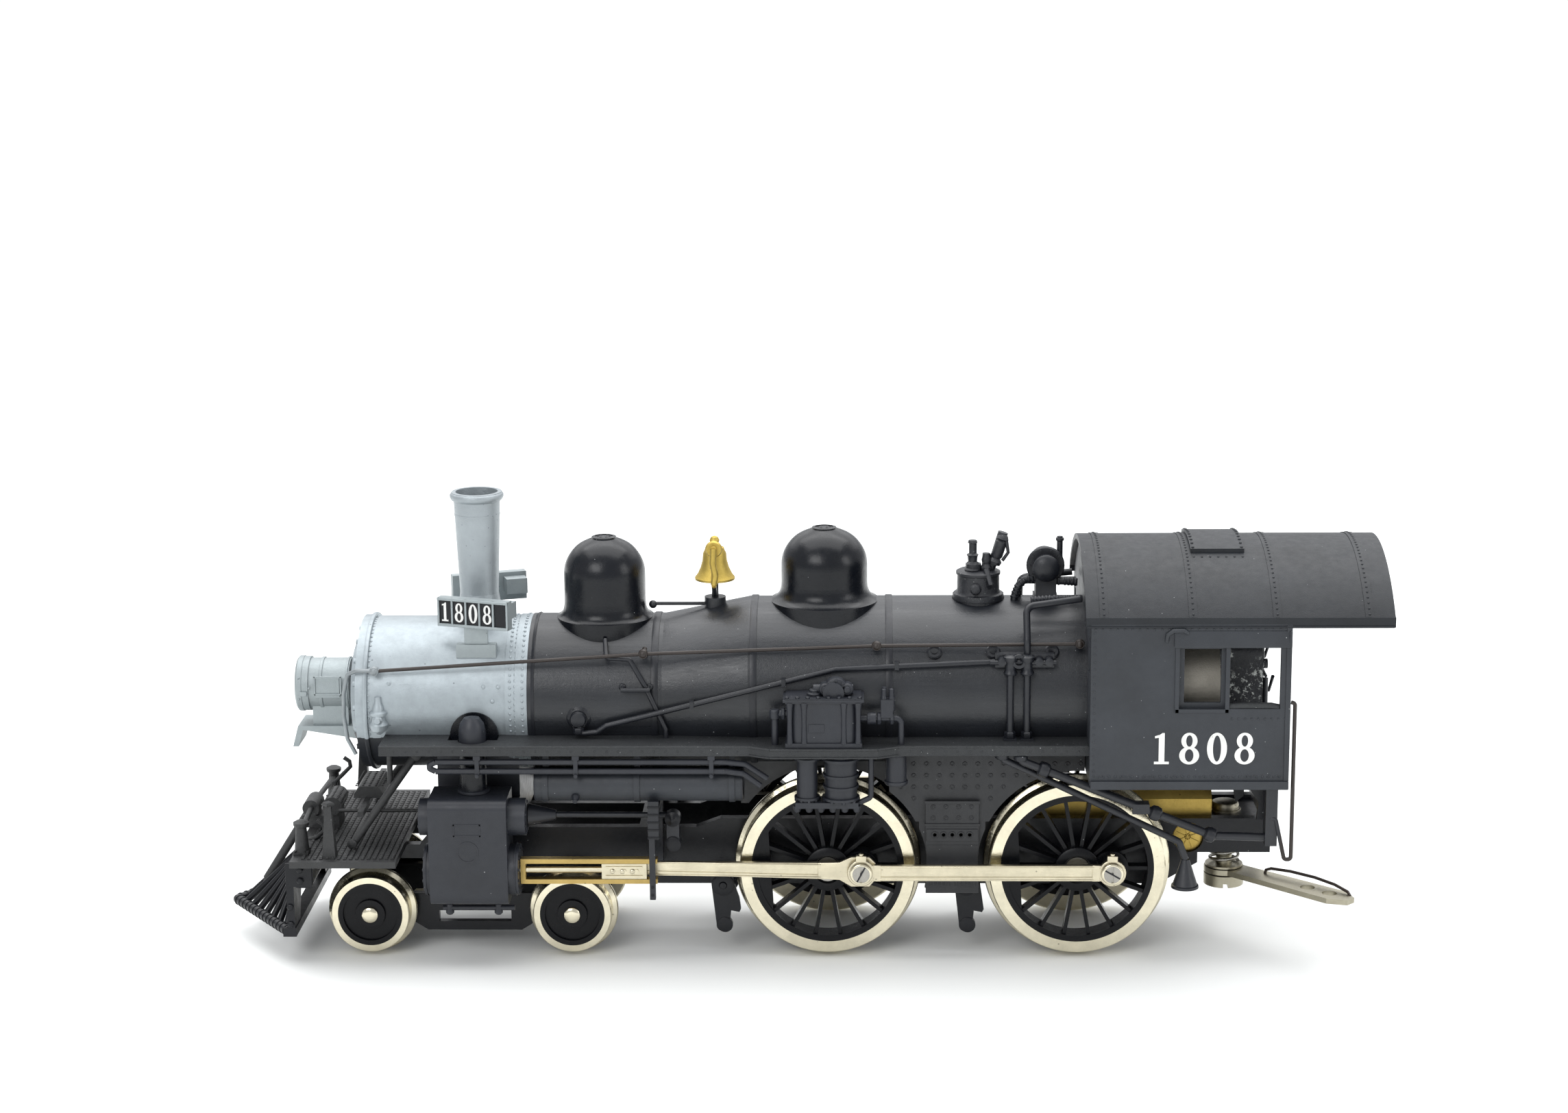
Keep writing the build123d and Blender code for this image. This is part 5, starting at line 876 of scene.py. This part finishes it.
# ---------------------------------------------------------------- deck and pilot details
deck = Piece("deck_details")
deck_top = corners("pilot_deck")[1].z
for i in range(16):
    x = -60.4 + 1.48 + i * 0.72
    for y in spread(-13.6, 13.6, 32):
        deck.turned([(0.2, 0), (0.16, 0.08), (0.05, 0.1)], (x, y, deck_top - 0.02), UP, 6)
for i in range(9):
    for j in range(5):
        deck.turned([(0.22, 0), (0.1, 0.12)], (-54.0 + j * 0.8, -3.0 + i * 0.75, 19.68), UP, 4)
        a = radians(20 + j * 35)
        out = Vector((-cos(a), 0, sin(a)))
        deck.turned([(0.2, 0), (0.08, 0.1)], Vector((-57.2, -2.3 + i * 0.575, 16.9)) + out * 1.13, out, 4)
for side, outward in SIDES:
    deck.turned([(0.85, 17.2), (0.95, 17.4), (0.95, 17.7), (0.5, 17.95), (0.1, 18.0)],
                (-59.4, side * 11.6, 0), UP, 24)
    deck.turned([(0.75, 20.2), (0.8, 20.4), (0.6, 20.6), (0.1, 20.65)], (-55.8, side * 12.9, 0), UP, 4)
    for x, y in ((-60.2, 10.8), (-60.2, 12.4), (-58.6, 10.8), (-58.6, 12.4)):
        deck.stud(0.2, 0.2, (x, side * y, 14.1), UP, 6)
    for x, z in ((-53.5, 14.6), (-45.9, 24.6)):
        deck.nut(0.6, 0.2, 0.4, 0.3, (x, side * (10.45 if z < 20 else 6.9), z), outward, 12)
deck.tube([(-58.6, 8.0, 14.0), (-58.6, 8.0, 16.9), (-57.6, 8.0, 17.9), (-56.6, 8.0, 18.9), (-56.7, 8.0, 19.6),
           (-57.4, 8.0, 20.1)], 0.28)
deck.tube([(-59.6, -6.0, 13.7), (-58.6, -6.0, 14.0), (-57.6, -6.0, 14.9), (-57.7, -6.0, 15.6),
           (-58.5, -6.0, 16.2)], 0.28)
deck.rod((-56.3, -3.0, 16.5), (-45.3, -3.0, 16.5), 0.24)
deck.done(DECK_BLACK)

foot = Piece("pilot_details")
PILOT_TIP, PILOT_BACK = Vector((-70.0, 0, 4.0)), Vector((-61.4, 12.0, 4.0))
for side, outward in SIDES:
    for i in range(15):
        t = (i + 0.5) / 15
        at = PILOT_TIP.lerp(PILOT_BACK, t)
        foot.turned([(0.66, -0.14), (0.7, -0.07), (0.7, 0.07), (0.66, 0.14)],
                    (at.x, side * at.y, at.z), (8.6, side * 12.0, 0), 16)
    for y, z in ((12.75, 10.6), (12.75, 12.0), (12.41, 5.0), (12.41, 7.2)):
        foot.nut(0.42, 0.2, 0.25, 0.3, (-59.6 if z > 9 else -61.0, side * y, z), outward, 6)
    foot.box((-61.4, -58.2), (side * 12.4, side * 12.6), (9.8, 12.8))
for y in spread(-10.5, 10.5, 8):
    foot.rivet((-60.7, y, 11.6), AHEAD, 0.24, 0.16)
foot.done(BLACK_FRAME, bevel=0.03)

# ---------------------------------------------------------------- wheels, rods and frame
for place in ("front", "rear"):
    tips = Piece(f"pony_axle_tips_{place}")
    low, high = corners(f"truck_{place}_axle")
    x, z = (low.x + high.x) / 2, (low.z + high.z) / 2
    for side, outward in SIDES:
        tips.turned([(0.97, -0.3), (0.97, 0.32), (0.86, 0.42), (0.5, 0.5), (0.1, 0.52)],
                    (x, side * 10.05, z), outward, 28)
    tips.done(NICKEL, body=f"truck_{place}_wheels")
    discs = Piece(f"pony_wheel_rings_{place}")
    for side, outward in SIDES:
        for r in (1.75, 3.42):
            discs.hoop([(r - 0.1, -0.1), (r - 0.08, 0.05), (r + 0.06, 0.05), (r + 0.1, -0.1)],
                       (x, side * 10.02, z), outward, 48)
    discs.done(WHEEL_BLACK, body=f"truck_{place}_wheels")

# cranks at rest: their angles from straight back, and their length
CRANK_ANGLES, THROW = {LEFT: radians(3.0), RIGHT: radians(93.0)}, 4.05
CROSSHEAD_Z, MAIN_ROD_RUN = 11.95, 28.4


def crank_pin(axle_x, side):
    """(x, z) of the crank pin of a driving axle at rest."""
    return axle_x + THROW * cos(CRANK_ANGLES[side]), AXLE_Z + THROW * sin(CRANK_ANGLES[side])


for axle, wheel_x, body in (("front", FRONT_AXLE_X, "front_drivers"), ("rear", REAR_AXLE_X, "rear_drivers")):
    for side, outward in SIDES:
        pin = crank_pin(wheel_x, side)
        name = SIDE_NAMES[side]
        hub = Piece(f"{axle}_hub_{name}")
        hub.hoop([(2.66, -0.1), (2.72, 0.05), (2.5, 0.2), (1.75, 0.24), (1.6, 0.1), (1.6, -0.1)],
                 (wheel_x, side * 10.18, AXLE_Z), outward, 40)
        hub.hoop([(9.18, -0.2), (9.2, 0.02), (8.95, 0.06), (8.62, -0.1), (8.55, -0.3)],
                 (wheel_x, side * 10.02, AXLE_Z), outward, 96)
        hub.done(WHEEL_BLACK, body=body)
        screw = Piece(f"{axle}_crank_screw_{name}")
        screw.hoop([(1.2, -0.2), (1.28, -0.12), (1.28, 0.0), (1.2, 0.06), (1.05, 0.06), (1.05, -0.2)],
                   (pin[0], side * 12.93, pin[1]), outward, 40)
        screw.done(NICKEL, body=body)
        # a black bar across the nickel screw head: painted shade standing for the dark groove of the screw
        # slot
        slot_shade = Piece(f"{axle}_crank_slot_shade_{name}")
        turn = radians(62 if axle == "front" else 150)
        reach = Vector((cos(turn), 0, sin(turn))) * 1.02
        middle = Vector((pin[0], side * 12.98, pin[1]))
        slot_shade.tube([middle - reach, middle + reach], 0.1, 6)
        slot_shade.done(BLACK, body=body)

for side, outward in SIDES:
    name = SIDE_NAMES[side]
    front_x, pin_z = crank_pin(FRONT_AXLE_X, side)
    rear_x = front_x + WHEELBASE
    ends = Piece(f"side_rod_ends_{name}")
    for x in (front_x, rear_x):
        ends.hoop([(1.62, 0), (1.68, 0.1), (1.68, 0.5), (1.6, 0.62), (1.36, 0.62), (1.36, 0)],
                  (x, side * 11.86, pin_z), outward, 48)
        ends.box((x - 0.62, x + 0.62), (side * 11.84, side * 12.5), (pin_z + 1.35, pin_z + 2.15))
        ends.nut(0.32, 0.25, 0.15, 0.3, (x, side * 12.15, pin_z + 2.15), UP, 12)
    for x0, x1 in ((front_x + 1.5, front_x + 2.4), (rear_x - 2.4, rear_x - 1.5)):
        ends.box((x0, x1), (side * 11.84, side * 12.47), (pin_z - 1.0, pin_z + 1.0))
    for z in (0.72, -0.86):
        ends.box((front_x + 2.2, rear_x - 2.2), (side * 12.4, side * 12.53), (pin_z + z, pin_z + z + 0.14))
    ends.done(ROD_NICKEL, body=f"coupling_rod_{name}", bevel=0.04)
    tilt = (pin_z - CROSSHEAD_Z) / MAIN_ROD_RUN
    big_end = Piece(f"main_rod_end_{name}")
    big_end.slab([(-5.2, -1.02 - 5.2 * tilt), (-2.6, -1.1 - 2.6 * tilt), (-1.2, -1.9), (1.0, -1.9),
                  (1.75, -1.0), (1.75, 1.0), (1.0, 1.8), (-1.2, 1.8), (-2.6, 1.1 - 2.6 * tilt),
                  (-5.2, 1.02 - 5.2 * tilt)],
                 lambda u, v, w, x=front_x, z=pin_z, side=side: (x + u, side * (11.08 + w), z + v), 0.68)
    along = Vector((1, 0, tilt))
    for v in (0.72, -0.86):
        start, end = (Vector((front_x, 0, pin_z)) - along * reach for reach in (25.6, 4.8))
        big_end.slab([(start.x, start.z + v), (end.x, end.z + v), (end.x, end.z + v + 0.14),
                      (start.x, start.z + v + 0.14)],
                     lambda u, height, w, side=side: (u, side * (11.72 + w), height), 0.1)
    big_end.done(ROD_NICKEL, body=f"connecting_rod_{name}", bevel=0.1)

for side, outward in SIDES:
    name = SIDE_NAMES[side]
    low, high = corners(f"crosshead_{name}")
    outer = high.y if side > 0 else low.y
    shoe = Piece(f"crosshead_rivets_{name}")
    for x in (high.x - 4.1, high.x - 2.9, high.x - 1.7):
        shoe.rivet((x, outer, CROSSHEAD_Z), outward, 0.3, 0.16)
    for z in (CROSSHEAD_Z - 0.62, CROSSHEAD_Z + 0.5):
        shoe.box((high.x - 4.9, high.x - 0.5), (outer - side * 0.1, outer + side * 0.05), (z, z + 0.12))
    shoe.done(ROD_NICKEL, body=f"piston_{name}")

gear = Piece("valve_gear_details")
for side, outward in SIDES:
    gear.turned([(0.95, 0), (0.95, 0.3), (0.5, 0.45), (0.3, 0.7), (0.1, 0.75)],
                (-14.5, side * 10.9, 17.9), outward, 24)
    gear.turned([(0.95, 0), (0.95, 0.25), (0.7, 0.35), (0.1, 0.35)], (-14.5, side * 10.85, 14.7), outward, 24)
    for i in range(5):
        gear.box((-17.35, -15.95), (side * 13.7, side * 13.85), (16.3 + i * 0.95, 16.52 + i * 0.95))
    for z in (9.2, 10.2):
        gear.rivet((-16.85, side * 13.75, z), outward, 0.2, 0.14)
    for hanger in (-9.0, 20.6):
        gear.turned([(1.35, 0), (1.35, 0.25), (1.15, 0.35), (0.5, 0.35), (0.4, 0.55), (0.1, 0.6)],
                    (hanger + 0.35, side * 8.25, 8.7), outward, 28)
        gear.turned([(0.95, -0.6), (0.95, 0.1), (0.8, 0.16), (0.1, 0.16)],
                    (hanger + 0.55, side * 8.3, 3.6), outward, 24)
gear.done(BLACK_FRAME)

DISC_X, DISC_Z = 48.0, 13.9
disc = Piece("frame_brass_discs")
for side, outward in SIDES:
    disc.turned([(1.86, 0), (1.86, 0.5), (1.7, 0.6), (0.4, 0.6), (0.3, 0.5), (0.1, 0.5)],
                (DISC_X, side * 4.7, DISC_Z), outward, 32)
    for a in (20, 65, 110, 155):
        dx, dz = 1.5 * cos(radians(a)), 1.5 * sin(radians(a))
        disc.tube([(DISC_X - dx, side * 5.32, DISC_Z - dz), (DISC_X + dx, side * 5.32, DISC_Z + dz)], 0.06, 6)
disc.done(MOTOR_BRASS)

bolt = Piece("drawbar_bolt_head")
bolt.turned([(1.95, 15.7), (1.95, 15.95), (1.7, 16.0), (1.7, 16.5), (1.55, 16.8), (1.0, 16.95), (0.1, 16.97)],
            (SCREW_X, 0, 0), UP, 40)
bolt.done(BAR_NICKEL, bevel=0.03)

under = Piece("cab_floor_brackets")
under.box((50.0, 57.2), (-4.25, 4.25), (15.3, 15.75))
under.box((56.2, 56.8), (-9.5, 9.5), (17.6, 23.1))
for side in (LEFT, RIGHT):
    under.slab([(53.7, 23.2), (57.4, 23.2), (57.4, 20.6), (56.6, 18.2), (55.4, 18.2), (55.6, 20.4)],
               lambda u, v, w, side=side: (u, side * (11.6 + w), v), 0.6)
    under.slab([(50.6, 23.2), (54.6, 23.2), (54.6, 19.4), (53.6, 18.6), (53.2, 20.8), (50.6, 21.4)],
               lambda u, v, w, side=side: (u, side * (5.8 + w), v), 0.5)
under.done(BLACK_FRAME, bevel=0.03)

DRAWBAR_REST = radians(-43.5)


def on_drawbar(along, across, z):
    """A point by its distances along and across the drawbar, from the screw that it swings on."""
    turn_x, turn_y = cos(DRAWBAR_REST), sin(DRAWBAR_REST)
    return (SCREW_X + along * turn_x - across * turn_y, along * turn_y + across * turn_x, z)


wire = Piece("drawbar_wire")
WIRE_RUN = ((5.6, 0.9, 8.4), (5.7, 1.0, 8.95), (6.4, 1.1, 9.25), (9.0, 1.45, 9.4), (12.5, 1.6, 9.4),
            (15.5, 1.5, 9.2), (17.6, 1.2, 8.85), (18.1, 1.0, 8.5))
wire.tube([on_drawbar(*at) for at in WIRE_RUN], 0.19)
wire.done(WIRE, body="drawbar_body")

nuts = Piece("injector_pipe_nuts")
for side in (LEFT, RIGHT):
    slope = Vector((22.9, 0, -9.3))
    for t in (0.12, 0.70, 0.985):
        at = Vector((27.2, side * 13.4, 25.9)) + slope * t
        nuts.turned([(0.6, -0.7), (0.85, -0.5), (0.95, 0.0), (0.85, 0.5), (0.6, 0.7)], at, slope, 16)
    nuts.turned([(1.55, 9.85), (1.66, 9.9), (1.62, 10.2), (1.45, 10.3)], (47.0, side * 12.6, 0), UP, 32)
    for x, y in ((27.2, 13.4), (25.0, 12.6)):
        nuts.turned([(0.7, 25.9), (0.85, 26.1), (0.85, 26.5), (0.7, 26.6)], (x, side * y, 0), UP, 12)
nuts.done(BLACK)

# ---------------------------------------------------------------- cab fittings
awning = Piece("window_awnings")
for side in (LEFT, RIGHT):
    wall = side * (WALL_Y - 0.05)
    drop = [(0.0, 42.2), (0.12, 42.25), (0.46, 40.55), (0.42, 40.25), (0.3, 40.4), (0.0, 41.8)]
    rows = [[awning.mesh.verts.new(vec((x, wall + side * out, z))) for out, z in drop] for x in (44.9, 58.4)]
    awning.skin(rows)
    awning.cap(rows[::-1])
    awning.tube([(44.0, wall - side * 0.05, 40.9), (44.1, wall + side * 0.1, 41.8),
                 (44.8, wall + side * 0.15, 42.3), (46.0, wall + side * 0.15, 42.3), (46.5, wall, 41.95)],
                0.3)
    awning.box((58.3, 58.6), (wall - side * 0.1, wall + side * 0.42), (40.3, 42.2))
awning.done(CAB_BLACK, bevel=0.04)

cab = Piece("cab_details")
for side, outward in SIDES:
    wall = side * WALL_Y
    cab.box((35.3, 58.6), (wall - side * 0.3, wall + side * 0.35), (23.05, 24.0))
    for x in spread(36.2, 58.2, 34):
        cab.rivet((x, wall, 24.5), outward, 0.14, 0.1)
    for x in spread(51.8, 58.0, 9):
        cab.rivet((x, wall, 31.6), outward, 0.14, 0.1)
    # window frame beads and a strip up the cab side's back edge; the arm rest on the sill is its own piece
    # below
    for z in (32.35, 40.25):
        cab.box((45.1, 51.4), (wall - side * 0.15, wall + side * 0.16), (z, z + 0.45))
    for x in (45.05, 50.95):
        cab.box((x, x + 0.5), (wall - side * 0.15, wall + side * 0.16), (32.35, 40.7))
    cab.box((58.0, 58.62), (wall - side * 0.1, wall + side * 0.12), (24.0, 42.9))
    # seat boxes; their cushions are their own piece below
    cab.box((51.6, 56.8), (side * 9.2, side * 14.2), (24.1, 29.0))
cab.done(CAB_BLACK, bevel=0.04)

rest = Piece("window_arm_rests")
for side in (LEFT, RIGHT):
    rest.tube([(51.5, side * 15.0, 32.95), (53.0, side * 15.05, 33.05), (56.4, side * 15.05, 33.05),
               (57.3, side * 15.0, 32.85)], 0.42, 12)
rest.done(BLACK_ROUGH)

seats = Piece("cab_seat_pads")
for side in (LEFT, RIGHT):
    seats.box((51.8, 56.6), (side * 9.5, side * 13.9), (29.0, 29.9))
seats.done(black_paint("seat_enamel", base=(0.020, 0.010, 0.007), rough=0.6, dust=0.3), bevel=0.3)

gauges = Piece("backhead_gauges")
BACKHEAD_X = 56.6
for y, z, r in ((-2.6, 36.4, 0.95), (0.0, 36.9, 0.75), (2.6, 36.4, 0.95)):
    gauges.turned([(r, 0), (r + 0.12, 0.1), (r + 0.12, 0.35), (r - 0.1, 0.42), (r - 0.14, 0.3), (0.08, 0.3)],
                  (BACKHEAD_X, y, z), AFT, 28)
for z in (29.6, 33.9):
    gauges.rod((BACKHEAD_X + 0.5, -4.4, z), (BACKHEAD_X + 0.5, 4.4, z), 0.2)
for y in (-4.2, 4.2):
    gauges.turned([(0.34, 30.0), (0.34, 33.6)], (BACKHEAD_X + 0.5, y, 0), UP, 12)
gauges.tube([(BACKHEAD_X, 0.6, 34.6), (BACKHEAD_X + 1.0, 0.8, 35.0), (BACKHEAD_X + 1.6, 1.8, 36.4)], 0.2)
gauges.tube([(BACKHEAD_X, -1.4, 31.0), (BACKHEAD_X + 1.3, -1.6, 31.4), (BACKHEAD_X + 1.5, -3.4, 33.6)], 0.22)
gauges.done(BLACK)

door = Piece("firehole_door")
door.turned([(2.1, 0), (2.1, 0.3), (1.9, 0.42), (0.1, 0.5)], (BACKHEAD_X, 0, 29.4), AFT, 36)
door.box((BACKHEAD_X + 0.3, BACKHEAD_X + 0.75), (-2.9, 2.3), (29.1, 29.6))
for y, z in ((-3.6, 27.2), (3.6, 27.2), (-4.4, 35.2), (4.4, 35.2), (0, 26.8)):
    door.rivet((BACKHEAD_X, y, z), AFT, 0.3, 0.25)
door.done(BACKHEAD_BLACK, bevel=0.03)

hatch = Piece("roof_hatch_rivets")
for x in (47.9, 53.7):
    for y in spread(-5.2, 5.2, 10):
        z = ROOF_AXIS_Z + sqrt((ROOF_RADIUS + 0.45)**2 - y * y)
        hatch.rivet((x, y, z), (0, y / ROOF_RADIUS, 1), 0.19, 0.14)
for side in (LEFT, RIGHT):
    for x in spread(47.9, 53.7, 7):
        y = side * 6.6
        hatch.rivet((x, y, ROOF_AXIS_Z + sqrt(ROOF_RADIUS**2 - y * y)), (0, y / ROOF_RADIUS, 1), 0.15, 0.1)
    hatch.tube([(34.7, side * ROOF_HALF, EAVE - 0.7), (70.45, side * ROOF_HALF, EAVE - 0.7)], 0.16, 8)
hatch.done(ROOF_BLACK)

# ---------------------------------------------------------------- floor, light, camera
def stage_material():
    p = Paint("pale_sweep")
    p.set(Base_Color=p.mix(p.ramp(p.noise(3), 0.3, 0.7), rgb(0.80, 0.81, 0.80), rgb(0.82, 0.83, 0.82)))
    p.set(Roughness=0.6)
    return p.material


floor_data = bpy.data.meshes.new("floor")
HALF_FLOOR = 6.0
floor_corners = [(x * HALF_FLOOR, y * HALF_FLOOR, 0) for x, y in ((-1, -1), (1, -1), (1, 1), (-1, 1))]
floor_data.from_pydata(floor_corners, [], [(0, 1, 2, 3)])
floor_data.materials.append(stage_material())
floor = add("floor", floor_data)


def soft_light(name, place, target, size, power):
    data = bpy.data.lights.new(name, "AREA")
    data.shape = "RECTANGLE"
    data.size, data.size_y = size
    data.energy = power
    light = add(name, data)
    light.location = place
    light.rotation_euler = (Vector(target) - Vector(place)).to_track_quat("-Z", "Y").to_euler()


soft_light("top_softbox", (0.0, 0.12, 0.75), (0, 0, 0), (1.2, 0.8), 8.5)
soft_light("front_softbox", (-0.35, -0.75, 0.55), (0, 0, 0.02), (0.5, 0.4), 3.0)
soft_light("side_softbox", (0.8, -0.35, 0.35), (0, 0, 0.02), (0.3, 0.4), 1.2)
soft_light("back_wash", (0.0, 2.6, 1.8), (0, 2.2, 0), (7.0, 3.2), 75)

world = bpy.data.worlds.new("studio")
bpy.context.scene.world = world
world.use_nodes = True
background = world.node_tree.nodes["Background"].inputs
background["Color"].default_value = (0.95, 0.97, 1.0, 1.0)
# the surround is seen as white as the floor, but lights the model more softly
WORLD_LIGHT, WORLD_SEEN = 0.72, 1.15
light_path = world.node_tree.nodes.new("ShaderNodeLightPath")
strength = world.node_tree.nodes.new("ShaderNodeMapRange")
strength.inputs["To Min"].default_value = WORLD_LIGHT
strength.inputs["To Max"].default_value = WORLD_SEEN
world.node_tree.links.new(light_path.outputs["Is Camera Ray"], strength.inputs["Value"])
world.node_tree.links.new(strength.outputs["Result"], background["Strength"])

camera_data = bpy.data.cameras.new("camera")
camera = add("camera", camera_data)
YAW, PITCH, ROLL = radians(-1.652), radians(12.487), radians(-0.491)
forward = Vector((sin(YAW) * cos(PITCH), cos(YAW) * cos(PITCH), -sin(PITCH)))
level = Vector((cos(YAW), -sin(YAW), 0))
above = level.cross(forward)
right = level * cos(ROLL) + above * sin(ROLL)
upward = above * cos(ROLL) - level * sin(ROLL)
CAMERA_PLACE = vec((9.34, -362.66, 128.18))
camera_turn = Matrix((right, upward, -forward)).transposed()
camera.matrix_world = Matrix.Translation(CAMERA_PLACE) @ camera_turn.to_4x4()
camera_data.lens = 70.07
camera_data.clip_start = 0.01
camera_data.clip_end = 50
bpy.context.scene.camera = camera
bpy.context.scene.view_settings.view_transform = "Standard"
